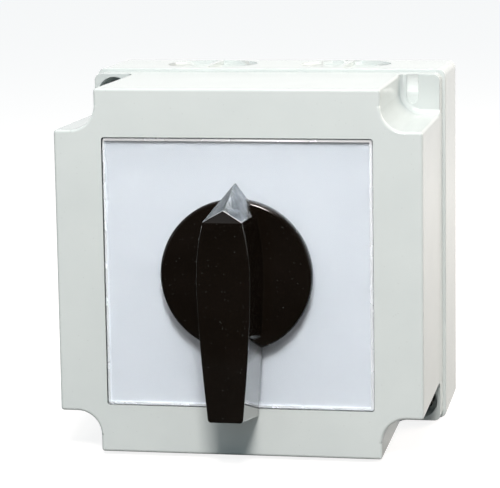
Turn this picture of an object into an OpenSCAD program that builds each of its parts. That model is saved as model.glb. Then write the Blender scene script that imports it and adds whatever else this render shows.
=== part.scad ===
// Rotary isolator switch in a moulded wall box, in millimetres.
// Every piece is drawn lying on its back, with the wall at Z = 0 and its front towards +Z,
// and on_wall() stands it up: X to the right, Z up, the front facing -Y, the wall at Y = 0.
// The origin is the middle of the wall-fixing holes on the rear face.

/* [Enclosure] */
// Width and height of the lid
lid_w = 120; // [116:1:150]
// Depth of the base box
base_d = 37; // [36:1:60]
// Depth of the lid
lid_d = 63; // [62:1:90]
// How far the base stands out beyond the lid on each side
ledge_w = 1.1; // [0.5:0.1:2]
// Thickness of the moulded walls
wall = 3; // [2.5:0.1:3.5]
// Radius of the base's four upright edges
base_corner_r = 2.5; // [1:0.1:4]
// Radius of the hood's edges and of its corners
lid_edge_r = 1; // [0.5:0.1:2]
// Depth of the lid's square flange behind the corner notches
flange_d = 9; // [7:0.5:12]
// Radius of the flange's four corners
flange_corner_r = 2.2; // [1:0.1:3]
// Width of each corner notch
notch_w = 13.5; // [12.5:0.1:16]
// Radius of the notch's inner corner
notch_r = 8; // [4:0.5:10]
// Radius of the cove between the notch's walls and its floor
notch_cove_r = 2; // [1:0.1:2.2]

/* [Lid screws] */
// Distance of each lid screw from the lid's edges
screw_inset = 6.8; // [6.5:0.1:7.5]
// Radius of the screw well
well_r = 5.6; // [4.8:0.1:6]
// Depth of the screw well
well_d = 7; // [4:0.5:7]
// Radius of the screw's head
lid_head_r = 4.2; // [3.5:0.1:4.6]
// Height of the screw's head
lid_head_h = 2.6; // [2:0.1:3]
// Radius of the screw's shank
lid_shank_r = 1.85; // [1.5:0.05:2.2]
// Length of the screw below its head
lid_screw_len = 24; // [15:1:30]
// Width of the blind sealing slot in the other two notches
seal_slot_w = 3.9; // [3:0.1:5]
// Distance of the sealing slot from the notch's upright wall
seal_slot_x = 4.3; // [4:0.1:5]
// Distance of the slot's round end from the notch's level wall
seal_slot_y = 5.7; // [4:0.1:7]

/* [Seal] */
// Width of the gasket groove in the base's rim
groove_w = 2.4; // [2:0.1:3]
// Depth of the gasket groove
groove_d = 4; // [3:0.5:6]
// Distance of the groove from the outline of the lid's hood
groove_inset = 2; // [1.5:0.1:3]
// How far the lid's tongue reaches into the groove
tongue_d = 2; // [1:0.5:2.5]
// Side clearance of the tongue and the gasket in the groove
groove_fit = 0.2; // [0.1:0.05:0.4]
// Width of the lip between the groove and the inside of the box
rim_lip = 1.6; // [1.2:0.1:3]

/* [Wall fixing and knock-outs] */
// Distance between the wall-fixing holes, both ways
fixing_pitch = 90; // [86:1:92]
// Radius of the wall-fixing holes
fixing_r = 2.3; // [2:0.1:3.2]
// Radius of the cable knock-outs
knockout_r = 16; // [10:0.5:16]
// Distance between the two knock-outs of a wall
knockout_pitch = 48; // [40:1:60]
// Height of the knock-outs' centres above the rear face
knockout_z = 17; // [16.5:0.5:20]
// Depth of a knock-out's sunk face
knockout_sink = 1.5; // [0.4:0.1:1.6]
// Width of the web across a knock-out
knockout_web = 1.8; // [1:0.1:3]
// Thickness of the skin left in a knock-out
knockout_skin = 1; // [0.8:0.1:1.2]

/* [Face plate and cover] */
// Width of the square face plate and of its clear cover
plate_w = 88; // [80:1:90]
// Thickness of the face plate
plate_t = 1; // [0.8:0.1:2]
// Thickness of the clear cover
cover_t = 2.5; // [1.5:0.1:4]
// Bevel round the front of the clear cover
cover_bevel = 0.8; // [0.3:0.1:1.2]
// Gap between the face plate and the lid
plate_gap = 0.2; // [0.1:0.05:0.5]
// Distance between the face plate's rear pegs, both ways
peg_pitch = 76; // [60:1:78]
// Radius of the face plate's rear pegs
peg_r = 1.6; // [1:0.1:2.5]

/* [Handle] */
// Radius of the handle's disc
disc_r = 24.8; // [22:0.1:30]
// Height of the disc's front above the face
disc_h = 3.8; // [3:0.1:6]
// Radius of the disc's front edge
disc_edge_r = 1.5; // [0.5:0.1:2]
// Running gap behind the disc
disc_gap = 0.5; // [0.3:0.1:1]
// Height of the lever's top above the face
lever_h = 24; // [18:0.5:30]
// Half the width of the lever's top where it is widest
lever_half = 8.6; // [7:0.1:11]
// Height above the axis at which the lever is widest
lever_wide_y = 2; // [0:0.5:5]
// Half the width of the lever's top where the arrowhead begins
nose_half = 6.4; // [5:0.1:7]
// Distance from the axis to the beginning of the arrowhead
nose_y = 20.4; // [19:0.1:22]
// Half the width of the lever's top at the end of its arm
tail_half = 5.6; // [4:0.1:7]
// Distance from the axis to the top edge of the arm's end
tail_top_y = 43.3; // [36:0.1:48]
// Distance from the axis to the foot of the arm's end
tail_foot_y = 46.8; // [37:0.1:52]
// Radius of the two corners at the arm's end
tail_corner_r = 1; // [0.5:0.1:2]
// How much wider the lever is at its foot, on each side
lever_draft = 0.7; // [0.3:0.1:1.2]
// Radius of the lever's top edges
lever_edge_r = 0.6; // [0.3:0.1:1]
// Gap between the arm and the face
arm_gap = 1; // [0.8:0.1:2]
// Wall of the hollow under the arm
arm_wall = 1.8; // [1.4:0.1:2.5]

/* [Pointer] */
// Distance from the axis to the upper end of the arrowhead's ridge
ridge_y = 23.9; // [23:0.1:26]
// Height of the ridge's upper end above the face
ridge_h = 22; // [16:0.5:24]
// Distance from the axis to the tip of the arrowhead
tip_y = 29.7; // [28:0.1:34]
// Height of the tip above the face
tip_h = 4.5; // [3:0.1:8]
// Height on the arrowhead's side at which the metal begins
parting_h = 15.4; // [10:0.1:17]
// Distance from the axis at which the parting line meets the disc
parting_foot_y = 23.7; // [22:0.1:25]

/* [Shaft and hub] */
// Width of the square shaft
shaft_w = 8; // [6:0.5:9]
// Radius of the handle's hub
hub_r = 9; // [8.5:0.1:10]
// Radial running clearance of the hub in the lid
hub_fit = 0.1; // [0.05:0.01:0.1]
// Clearance of the shaft in each square hole, on each side
shaft_fit = 0.1; // [0.05:0.01:0.15]
// Radius of the shaft's rear journal
journal_r = 4; // [3:0.1:4]
// Radial running clearance of the journal
journal_fit = 0.08; // [0.03:0.01:0.1]
// Radius of the lid's collar round the hub
collar_r = 14; // [13:0.5:16]
// Length of the lid's collar
collar_d = 6.5; // [6:0.5:9]
// Radius of the shaft seal's ring section
seal_ring_r = 1.15; // [0.9:0.05:1.3]
// Thickness of the retaining clip
clip_t = 1.2; // [0.8:0.1:2]

/* [Switch decks] */
// Depth of one deck
deck_d = 20; // [18:0.5:22]
// Thickness of a deck's floor
deck_floor = 2.5; // [2:0.1:4]
// Width of the decks across the plungers
deck_w = 62; // [60:1:66]
// Height of the decks across the plungers
deck_h = 44; // [40:1:50]
// Width of the decks across the terminals
terminal_w = 48; // [46:1:56]
// Height of the front deck, from terminal to terminal
front_deck_h = 66; // [66:1:70]
// How much further the rear deck's terminals reach, on each side
deck_step = 9; // [8.5:0.5:10]
// Height of the bosses that carry the switch
boss_h = 6; // [4:0.5:8]
// Distance between the tie bolts
tie_pitch = 50; // [49:0.5:52]
// Radius of the tie bolts
tie_r = 2; // [1.5:0.1:2.2]

/* [Cams and contacts] */
// Largest radius of a cam
cam_r = 12; // [11:0.1:12.5]
// Travel of the plungers between off and on
cam_lift = 2.5; // [1.5:0.1:3]
// Thickness of a cam
cam_t = 8; // [5:0.5:12]
// Width of a plunger
plunger_w = 7; // [6:0.5:8]
// Length of a plunger
plunger_len = 13.5; // [12.5:0.5:15]
// Gap between a plunger's nose and its cam
nose_gap = 0.15; // [0.1:0.01:0.3]
// Distance from a plunger's nose to its bridge
bridge_offset = 7.05; // [6.5:0.05:7.5]
// Length of a contact bridge
bridge_len = 26; // [24:0.5:27]
// Thickness of the copper bars and bridges
bar_t = 1.5; // [1:0.1:2]
// Width of the copper bars
bar_w = 5; // [4:0.5:7]
// Height of a contact tip
tip_t = 1; // [0.6:0.1:1.4]
// Radius of a contact tip
contact_r = 2; // [1.5:0.1:2.4]
// Distance of the contact tips from the middle of the bridge
contact_y = 10.5; // [10:0.1:11]
// Gap left between closed contacts
closed_gap = 0.1; // [0.05:0.05:0.3]
// Mean radius of a contact spring
spring_r = 1.7; // [1.4:0.1:1.8]
// Radius of the spring's wire
spring_wire_r = 0.3; // [0.2:0.05:0.35]
// Turns of a contact spring
spring_turns = 5; // [3:1:6]

/* [Latch] */
// Depth of the latch housing
latch_d = 15; // [14:0.5:18]
// Radius of the detent wheel
wheel_r = 13.5; // [12.5:0.1:14]
// Thickness of the detent wheel
wheel_t = 7.5; // [6:0.5:8]
// Thickness of a detent spring
leaf_t = 0.6; // [0.4:0.1:0.8]
// Half the length of a detent spring
leaf_reach = 20; // [18:0.5:20]
// Thickness of the latch cover
latch_cover_t = 3; // [2:0.5:4]

/* [Hidden] */
$fn = 64;

// Colours of the pieces
shell_grey = [0.84, 0.86, 0.85];
plate_silver = [0.87, 0.90, 0.93];
cover_clear = [0.90, 0.95, 1.00, 0.35];
handle_black = [0.07, 0.06, 0.05];
chrome = [0.80, 0.81, 0.83];
seal_black = [0.15, 0.15, 0.15];
steel = [0.70, 0.71, 0.73];
deck_black = [0.22, 0.22, 0.23];
cam_ivory = [0.86, 0.83, 0.74];
copper = [0.80, 0.52, 0.36];
brass = [0.80, 0.68, 0.40];

// A short overlap that lets cuts pass right through and joined forms merge
over = 0.5;
// Thickness of the thin outlines that a rounded edge is hulled over
sliver = 0.01;

// Levels of the enclosure, from the wall to the front
face_z = base_d + lid_d;
flange_z = base_d + flange_d;
well_z = flange_z - well_d;
groove_z = base_d - groove_d;
rim_z = groove_z - 1.5;
plate_z = face_z - plate_t - cover_t;
cover_z = face_z - cover_t;
front_wall_z = plate_z - wall;
collar_z = front_wall_z - collar_d;
seat_step_d = 3;

// Half sizes and insets of the enclosure
lid_half = lid_w / 2;
base_half = lid_half + ledge_w;
rim_inset = groove_inset + groove_w + rim_lip;
plate_seat_w = plate_w + 2 * plate_gap;
screw_at = lid_half - screw_inset;
screw_places = [[-screw_at, screw_at], [screw_at, -screw_at]];
post_r = 5.5;
lid_screw_hole_r = lid_shank_r + 0.35;
pilot_fit = 0.05;

// The hub, its seal and its clip
seal_groove_r = hub_r + hub_fit + 2 * seal_ring_r;
seal_groove_d = 2 * seal_ring_r + 0.1;
seal_z = collar_z + collar_d / 2;
clip_gap = 0.3;
clip_z = collar_z - clip_gap - clip_t;
clip_groove_r = hub_r - 1.4;
hub_z = clip_z - 3.5;
socket_top_z = face_z + disc_h;
shaft_top_z = socket_top_z - 2;

// Levels of the switch, from the box's floor to the clip on the shaft
plate_back_z = wall + boss_h;
mounting_plate_t = 2;
end_plate_z = plate_back_z + mounting_plate_t;
end_plate_t = 5;
rear_deck_z = end_plate_z + end_plate_t;
front_deck_z = rear_deck_z + deck_d;
latch_z = front_deck_z + deck_d;
latch_cover_z = latch_z + latch_d;
stack_top_z = latch_cover_z + latch_cover_t;
cam_hub_r = 6.5;
floor_hole_r = cam_hub_r + 0.3;
boss_at = 33;
boss_r = 4.5;
mounting_screw_r = 1.9;
end_plate_w = 44;
end_plate_h = 62;
switch_screw_x = 14;
shaft_rear_z = end_plate_z + 0.3;

// Places across a deck, for a plunger that points to the right
nose_x = cam_r + nose_gap;
bridge_x = nose_x + bridge_offset;
fixed_tip_x = bridge_x - tip_t - cam_lift - closed_gap;
bar_x = fixed_tip_x - tip_t - bar_t;
plunger_end_x = nose_x + plunger_len;
spring_bore_r = spring_r + spring_wire_r + 0.3;
spring_seat_x = bridge_x + bar_t + 0.8;
spring_wall_x = deck_w / 2 - 2;
slide_fit = 0.2;
deck_middle = deck_floor + (deck_d - deck_floor) / 2;
cam_cavity_r = cam_r + 1;
chamber_half = bridge_len / 2 + 1.5;
pad_w = 10;
pad_len = deck_step - 1;
pad_x = bar_x + bar_t / 2;
pocket_half = pad_w / 2 + 1;
shelf = deck_middle - bar_w / 2;
pad_in = 0.5;
saddle_t = 1.2;
terminal_screw_r = 1.95;
terminal_screw_fit = 0.1;

// The latch
leaf_nose_x = wheel_r - 1.9;
leaf_shoulder_x = leaf_nose_x + 3.9;
leaf_shoulder_y = 6;
leaf_end_x = leaf_nose_x + 4.9;
leaf_slot_w = leaf_end_x - leaf_shoulder_x + leaf_t + 0.8;
lug_half = 3;
lug_t = 3;
lug_z = 2 + wheel_t + 1.25;
stop_in_r = 14.2;
stop_half = 2;
stop_gap = 1.2;
latch_cavity_r = 19.5;
lug_r = 18.5;
lug_at = 135;
stop_turn = asin(lug_half / stop_in_r) + asin(stop_half / stop_in_r) + stop_gap;
on_turn = 90;

// Brass terminals beside the switch
brass_x = 45;
brass_w = 8;
brass_len = 30;
brass_d = 10;
brass_seat_d = 5;
brass_screw_y = 9;
brass_wire_r = 2.2;
brass_screw_r = 1.9;

// ---- helpers ----

// Stands a piece up against the wall
module on_wall() {
    rotate([90, 0, 0]) children();
}

// Mirrors what is drawn in one quarter into all four
module in_four_quarters() {
    for (flip_x = [0, 1]) {
        for (flip_y = [0, 1]) {
            mirror([flip_x, 0, 0]) mirror([0, flip_y, 0]) children();
        }
    }
}

// Rectangle about the origin with rounded corners, each corner an arc of eight steps
module rounded_square(w, h, r) {
    quarters = [[1, 1, 0], [-1, 1, 90], [-1, -1, 180], [1, -1, 270]];
    if (r > 0) {
        polygon([
            for (q = quarters, turn = [0 : 11.25 : 90])
                [q[0] * (w / 2 - r) + r * cos(q[2] + turn), q[1] * (h / 2 - r) + r * sin(q[2] + turn)]
        ]);
    } else {
        square([w, h], center = true);
    }
}

// Outline of the lid's hood, a square with its four corners notched, drawn in by an inset
module hood_outline(inset) {
    reach = lid_half - inset;
    shoulder = lid_half - notch_w - inset;
    inner_r = notch_r + inset;
    corner_r = max(lid_edge_r - inset, 0);
    rounded_square(2 * reach, 2 * shoulder, corner_r);
    rounded_square(2 * shoulder, 2 * reach, corner_r);
    in_four_quarters() translate([shoulder, shoulder]) difference() {
        translate([-over, -over]) square(inner_r + over);
        translate([inner_r, inner_r]) circle(inner_r);
    }
}

// Upright block with rounded upright edges and a rounded front edge
module round_edged_block(w, h, r, low, high) {
    hull() {
        translate([0, 0, low]) linear_extrude(high - r - low) rounded_square(w, h, r);
        for (turn = [22.5 : 22.5 : 90]) {
            draw_in = r * (1 - cos(turn));
            translate([0, 0, high - r + r * sin(turn) - sliver]) linear_extrude(sliver)
                rounded_square(w - 2 * draw_in, h - 2 * draw_in, r - draw_in);
        }
    }
}

// Screw with a slotted head, its seat at Z = 0 and its shank below
module slotted_screw(head_r, head_h, shank_r, shank_len) {
    difference() {
        cylinder(h = head_h, r = head_r);
        translate([-head_r - over, -0.6, head_h / 2]) cube([2 * (head_r + over), 1.2, head_h]);
    }
    translate([0, 0, -shank_len]) cylinder(h = shank_len + over, r = shank_r);
}

// Sets what is drawn on the right also on the left
module on_both_sides() {
    for (flip = [0, 1]) {
        mirror([flip, 0, 0]) children();
    }
}

// ---- enclosure ----

// Cable knock-out seen from inside the top wall: a sunk face with a web across it, and a relief behind
module knockout_cut() {
    relief_r = min(knockout_z - wall, rim_z - knockout_z) - 0.2;
    translate([0, base_half - knockout_sink, knockout_z]) rotate([-90, 0, 0]) difference() {
        cylinder(h = knockout_sink + over, r = knockout_r);
        translate([-knockout_web / 2, -knockout_r, -over])
            cube([knockout_web, 2 * knockout_r, 3 * over + knockout_sink]);
    }
    translate([0, base_half - wall - over, knockout_z]) rotate([-90, 0, 0])
        cylinder(h = wall + over - knockout_sink - knockout_skin, r = relief_r);
}

// Tray that is fixed to the wall: grooved rim, screw posts, bosses and knock-outs
module base_box() {
    color(shell_grey) on_wall() difference() {
        union() {
            difference() {
                linear_extrude(base_d) rounded_square(2 * base_half, 2 * base_half, base_corner_r);
                translate([0, 0, wall]) linear_extrude(base_d)
                    rounded_square(2 * (base_half - wall), 2 * (base_half - wall), 1);
            }
            translate([0, 0, rim_z]) linear_extrude(base_d - rim_z) difference() {
                square(2 * (base_half - wall / 2), center = true);
                hood_outline(rim_inset);
            }
            for (place = screw_places) {
                translate([place[0], place[1], wall - over])
                    cylinder(h = rim_z - wall + 2 * over, r = post_r);
            }
            in_four_quarters() {
                translate([boss_at, boss_at, wall - over]) cylinder(h = boss_h + over, r = boss_r);
                translate([fixing_pitch / 2, fixing_pitch / 2, wall - over])
                    cylinder(h = 2 + over, r = 2.4 * fixing_r);
            }
            on_both_sides() translate([brass_x - brass_w / 2 - 1, -brass_len / 2 - 1, wall - over])
                cube([brass_w + 2, brass_len + 2, brass_seat_d + over]);
        }
        translate([0, 0, groove_z]) linear_extrude(groove_d + over) difference() {
            hood_outline(groove_inset);
            hood_outline(groove_inset + groove_w);
        }
        for (place = screw_places) {
            translate([place[0], place[1], well_z - lid_screw_len - 1])
                cylinder(h = lid_screw_len, r = lid_shank_r + pilot_fit);
        }
        in_four_quarters() {
            translate([boss_at, boss_at, 1]) cylinder(h = plate_back_z, r = mounting_screw_r + pilot_fit);
            translate([fixing_pitch / 2, fixing_pitch / 2, -over])
                cylinder(h = wall + 2 + 2 * over, r = fixing_r);
        }
        on_both_sides() translate([brass_x, 0, 2])
            cylinder(h = wall + brass_seat_d, r = brass_screw_r + pilot_fit);
        in_four_quarters() translate([knockout_pitch / 2, 0, 0]) knockout_cut();
    }
}

// Fillet that fills the inner corner of a notch, with the lid's rounded front edge carried round it
module notch_fillet() {
    shoulder = lid_half - notch_w;
    translate([shoulder, shoulder, 0]) difference() {
        translate([-lid_edge_r, -lid_edge_r, flange_z - over])
            cube([notch_r + lid_edge_r, notch_r + lid_edge_r, face_z - flange_z + over]);
        translate([notch_r, notch_r, flange_z - 2 * over])
            cylinder(h = face_z - flange_z + 3 * over, r = notch_r);
        translate([notch_r, notch_r, face_z - lid_edge_r]) rotate_extrude() difference() {
            square([notch_r + lid_edge_r, lid_edge_r + over]);
            translate([notch_r + lid_edge_r, 0]) circle(lid_edge_r);
        }
    }
}

// Cove along the foot of a notch's two walls and round its inner corner
module notch_cove() {
    shoulder = lid_half - notch_w;
    run = notch_w - notch_r;
    translate([shoulder, shoulder, flange_z - sliver]) {
        intersection() {
            cube([notch_r, notch_r, notch_cove_r]);
            translate([notch_r, notch_r, 0]) rotate_extrude() difference() {
                translate([notch_r - notch_cove_r, 0]) square([notch_cove_r + over, notch_cove_r]);
                translate([notch_r - notch_cove_r, notch_cove_r + sliver]) circle(notch_cove_r);
            }
        }
        for (swap = [0, 1]) {
            mirror([swap, -swap, 0]) translate([0, notch_r + run, 0]) rotate([90, 0, 0]) linear_extrude(run)
                difference() {
                    translate([-over, 0]) square([notch_cove_r + over, notch_cove_r]);
                    translate([notch_cove_r, notch_cove_r + sliver]) circle(notch_cove_r);
                }
        }
    }
}

// Hood with four notched corners, a tongue for the gasket and a bearing collar for the handle
module lid() {
    hood_w = 2 * (lid_half - notch_w);
    color(shell_grey) on_wall() difference() {
        union() {
            difference() {
                union() {
                    translate([0, 0, base_d]) linear_extrude(flange_d)
                        rounded_square(lid_w, lid_w, flange_corner_r);
                    round_edged_block(lid_w, hood_w, lid_edge_r, flange_z - over, face_z);
                    round_edged_block(hood_w, lid_w, lid_edge_r, flange_z - over, face_z);
                    in_four_quarters() {
                        notch_fillet();
                        notch_cove();
                    }
                }
                translate([0, 0, base_d - over]) linear_extrude(4)
                    hood_outline(groove_inset + groove_w + 0.3);
                translate([0, 0, base_d + 3]) linear_extrude(front_wall_z - base_d - 3) hood_outline(wall);
                translate([0, 0, front_wall_z - over]) linear_extrude(face_z - wall - front_wall_z + over)
                    difference() {
                        hood_outline(wall);
                        square(plate_seat_w + 2 * seat_step_d, center = true);
                    }
            }
            translate([0, 0, base_d - tongue_d]) linear_extrude(tongue_d + over) difference() {
                hood_outline(groove_inset + groove_fit);
                hood_outline(groove_inset + groove_w - groove_fit);
            }
            translate([0, 0, collar_z]) cylinder(h = collar_d + over, r = collar_r);
        }
        translate([0, 0, plate_z]) linear_extrude(face_z) rounded_square(plate_seat_w, plate_seat_w, 1);
        translate([0, 0, collar_z - over]) cylinder(h = face_z - collar_z, r = hub_r + hub_fit);
        translate([0, 0, seal_z - seal_groove_d / 2]) cylinder(h = seal_groove_d, r = seal_groove_r);
        in_four_quarters() translate([peg_pitch / 2, peg_pitch / 2, front_wall_z - over])
            cylinder(h = wall + 2 * over, r = peg_r + 0.1);
        for (place = screw_places) {
            translate([place[0], place[1], well_z]) cylinder(h = well_d + over, r = well_r);
            translate([place[0], place[1], base_d - over]) cylinder(h = flange_d, r = lid_screw_hole_r);
        }
        for (turn = [0, 180]) {
            rotate(turn) translate([lid_half - notch_w, lid_half - notch_w, flange_z - 0.8])
                translate([seal_slot_x, seal_slot_y, 0]) linear_extrude(1 + over) {
                    circle(seal_slot_w / 2);
                    translate([-seal_slot_w / 2, 0]) square([seal_slot_w, notch_w]);
                }
        }
    }
}

// Soft seal in the base's groove, under the lid's tongue
module lid_gasket() {
    color(seal_black) on_wall() translate([0, 0, groove_z]) linear_extrude(groove_d - tongue_d) difference() {
        hood_outline(groove_inset + groove_fit / 2);
        hood_outline(groove_inset + groove_w - groove_fit / 2);
    }
}

// The two slotted screws that hold the lid
module lid_screws() {
    color(steel) on_wall() for (place = screw_places) {
        translate([place[0], place[1], well_z]) slotted_screw(lid_head_r, lid_head_h, lid_shank_r, lid_screw_len);
    }
}

// Silver plate with four rear pegs that snap into the lid
module face_plate() {
    color(plate_silver) on_wall() difference() {
        union() {
            translate([0, 0, plate_z]) linear_extrude(plate_t) rounded_square(plate_w, plate_w, 1);
            in_four_quarters() translate([peg_pitch / 2, peg_pitch / 2, plate_z - wall + 0.4])
                cylinder(h = wall, r = peg_r);
        }
        translate([0, 0, plate_z - over]) cylinder(h = plate_t + 2 * over, r = hub_r + 2);
    }
}

// Clear cover over the face plate, with a bevel round its front
module clear_cover() {
    color(cover_clear) on_wall() difference() {
        hull() {
            translate([0, 0, cover_z]) linear_extrude(cover_t - cover_bevel)
                rounded_square(plate_w, plate_w, 1);
            translate([0, 0, face_z - sliver]) linear_extrude(sliver)
                square(plate_w - 2 * cover_bevel, center = true);
        }
        translate([0, 0, cover_z - over]) cylinder(h = cover_t + 2 * over, r = hub_r + 2);
    }
}

// O-ring that seals the hub in the lid's collar
module shaft_seal() {
    color(seal_black) on_wall() translate([0, 0, seal_z]) rotate_extrude()
        translate([hub_r + hub_fit / 2 + seal_ring_r, 0]) circle(seal_ring_r, $fn = 32);
}

// ---- handle ----

// Half the width of the lever's top at a height above the axis
function lever_width(y) = y > lever_wide_y
    ? lever_half - (lever_half - nose_half) * pow((y - lever_wide_y) / (nose_y - lever_wide_y), 2)
    : lever_half - (lever_half - tail_half) * pow((lever_wide_y - y) / (lever_wide_y + tail_top_y), 1.55);

// Outline of the lever from its tail to the arrowhead, grown sideways
module lever_outline(grow, tail_y) {
    steps = 14;
    low_y = -tail_y + tail_corner_r;
    ys = [for (i = [0 : steps]) low_y + (nose_y - low_y) * i / steps];
    side = [for (y = ys) [lever_width(max(y, -tail_top_y)) + grow, y]];
    end_half = side[0][0] - tail_corner_r;
    corner = [
        for (turn = [0 : 30 : 60])
            [end_half + tail_corner_r * sin(turn), low_y - tail_corner_r * cos(turn)]
    ];
    right = concat(corner, side);
    left = [for (i = [len(right) - 1 : -1 : 0]) [-right[i][0], right[i][1]]];
    polygon(concat(right, left));
}

// Tapered grip with a bulged outline and a slanted end
module lever() {
    top_z = face_z + lever_h;
    hull() {
        translate([0, 0, face_z + arm_gap]) linear_extrude(sliver) lever_outline(lever_draft, tail_foot_y);
        translate([0, 0, top_z - lever_edge_r]) linear_extrude(sliver) lever_outline(0, tail_top_y);
        for (turn = [30 : 30 : 90]) {
            draw_in = lever_edge_r * (1 - cos(turn));
            translate([0, 0, top_z - lever_edge_r * (1 - sin(turn)) - sliver]) linear_extrude(sliver)
                lever_outline(-draw_in, tail_top_y - draw_in);
        }
    }
}

// Hollow under the arm, with a cross rib left in it
module arm_hollow() {
    hollow_in = disc_r + 1.2;
    hollow_out = tail_top_y - 2.4;
    rib_t = 1.2;
    bay = (hollow_out - hollow_in - rib_t) / 2;
    translate([0, 0, face_z]) linear_extrude(lever_h - 3) intersection() {
        lever_outline(-arm_wall, tail_top_y);
        union() {
            translate([-lever_half, -hollow_in - bay]) square([2 * lever_half, bay]);
            translate([-lever_half, -hollow_out]) square([2 * lever_half, bay]);
        }
    }
}

// Whole arrowhead: two sloping roof planes that meet in a ridge, over drafted side walls
module arrowhead() {
    back_y = nose_y - 2;
    foot_half = nose_half + lever_draft;
    top = face_z + lever_h;
    foot = face_z + arm_gap;
    corners = [
        [-nose_half, back_y, top], [nose_half, back_y, top],
        [-nose_half, nose_y, top], [nose_half, nose_y, top],
        [0, ridge_y, face_z + ridge_h], [0, tip_y, face_z + tip_h],
        [-foot_half, back_y, foot], [foot_half, back_y, foot],
        [-foot_half, nose_y, foot], [foot_half, nose_y, foot],
        [0, tip_y + lever_draft / 2, foot]
    ];
    hull() polyhedron(points = corners, faces = [[for (i = [0 : len(corners) - 1]) i]]);
}

// Space in which the arrowhead is part of the black moulding: under the top facet and behind the parting line
module moulded_side() {
    rise = ridge_y - nose_y;
    // the metal reaches down beside the disc only where the tip stands well clear of it
    lip_y = disc_r + 1 < tip_y ? disc_r + 0.1 : tip_y + lever_draft;
    translate([0, 0, face_z]) {
        linear_extrude(2 * lever_h) polygon([
            [0, ridge_y], [2 * nose_half, nose_y - rise], [2 * nose_half, 0],
            [-2 * nose_half, 0], [-2 * nose_half, nose_y - rise]
        ]);
        translate([-2 * nose_half, 0, 0]) rotate([90, 0, 90]) linear_extrude(4 * nose_half) polygon([
            [0, 0], [lip_y, 0], [lip_y, disc_h], [parting_foot_y, disc_h],
            [nose_y, parting_h], [nose_y, 2 * lever_h], [0, 2 * lever_h]
        ]);
    }
}

// Disc with a rounded front edge, and the hub behind it
module handle_disc() {
    low = face_z + disc_gap;
    high = face_z + disc_h;
    rotate_extrude() {
        translate([0, low]) square([disc_r, high - low - disc_edge_r]);
        translate([0, low]) square([disc_r - disc_edge_r, high - low]);
        translate([disc_r - disc_edge_r, high - disc_edge_r]) circle(disc_edge_r);
        translate([0, hub_z]) square([hub_r, low - hub_z + over]);
    }
}

// Handle: disc, hub and lever in one moulding, hollow under the arm and socketed for the shaft
module handle() {
    socket_w = shaft_w + 2 * shaft_fit;
    color(handle_black) on_wall() difference() {
        union() {
            handle_disc();
            lever();
            intersection() {
                arrowhead();
                moulded_side();
            }
        }
        arm_hollow();
        translate([-socket_w / 2, -socket_w / 2, hub_z - over])
            cube([socket_w, socket_w, socket_top_z - hub_z + over]);
        translate([0, 0, clip_z - 0.2]) difference() {
            cylinder(h = clip_t + 0.4, r = hub_r + over);
            translate([0, 0, -over]) cylinder(h = clip_t + 3 * over, r = clip_groove_r);
        }
    }
}

// Metal arrowhead let into the end of the lever
module pointer() {
    color(chrome) on_wall() difference() {
        arrowhead();
        moulded_side();
    }
}

// Open ring in the hub's groove that keeps the handle in the lid
module handle_clip() {
    color(steel) on_wall() translate([0, 0, clip_z]) difference() {
        cylinder(h = clip_t, r = hub_r + 2.5);
        translate([0, 0, -over]) cylinder(h = clip_t + 2 * over, r = clip_groove_r + 0.05);
        translate([-3, 0, -over]) cube([6, hub_r + 4, clip_t + 2 * over]);
    }
}

// ---- switch: fixed pieces ----

// Steel plate on the box's bosses
module mounting_plate() {
    plate_half = boss_at + boss_r + 0.5;
    color(steel) on_wall() difference() {
        translate([0, 0, plate_back_z]) linear_extrude(mounting_plate_t)
            rounded_square(2 * plate_half, 2 * plate_half, 4);
        in_four_quarters() translate([boss_at, boss_at, plate_back_z - over])
            cylinder(h = mounting_plate_t + 2 * over, r = mounting_screw_r + 0.3);
        on_both_sides() translate([switch_screw_x, 0, 0]) {
            translate([0, 0, plate_back_z - over]) cylinder(h = mounting_plate_t + 2 * over, r = 2.1);
            translate([0, 0, plate_back_z - sliver]) cylinder(h = 1.5 + sliver, r1 = 3.5, r2 = 2.1);
        }
    }
}

// Four screws that hold the mounting plate on the box's bosses
module mounting_screws() {
    color(steel) on_wall() in_four_quarters() translate([boss_at, boss_at, end_plate_z])
        slotted_screw(3.5, 2.4, mounting_screw_r, boss_h + mounting_plate_t);
}

// Two countersunk screws from behind the mounting plate into the end plate
module switch_screws() {
    color(steel) on_wall() on_both_sides() translate([switch_screw_x, 0, plate_back_z + 0.05]) {
        cylinder(h = 1.4, r1 = 3.3, r2 = 1.9);
        cylinder(h = mounting_plate_t + 3, r = 1.9);
    }
}

// Rear end plate with the bearing of the shaft and seats for the tie bolts' heads
module rear_end_plate() {
    color(deck_black) on_wall() difference() {
        translate([0, 0, end_plate_z]) linear_extrude(end_plate_t)
            rounded_square(end_plate_w, end_plate_h, 3);
        translate([0, 0, end_plate_z - over])
            cylinder(h = end_plate_t + 2 * over, r = journal_r + journal_fit);
        on_both_sides() translate([switch_screw_x, 0, end_plate_z - over])
            cylinder(h = 4, r = 1.9 + pilot_fit);
        for (side = [-1, 1]) {
            translate([0, side * tie_pitch / 2, end_plate_z - over]) {
                cylinder(h = end_plate_t + 2 * over, r = tie_r + 0.2);
                cylinder(h = 2.6 + over, r = tie_r + 2.2);
            }
        }
    }
}

// Plan of a deck: a cross of the plungers' arm and the terminals' arm
module deck_plan(half_h) {
    rounded_square(deck_w, deck_h, 2);
    rounded_square(terminal_w, 2 * half_h, 2);
}

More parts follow.
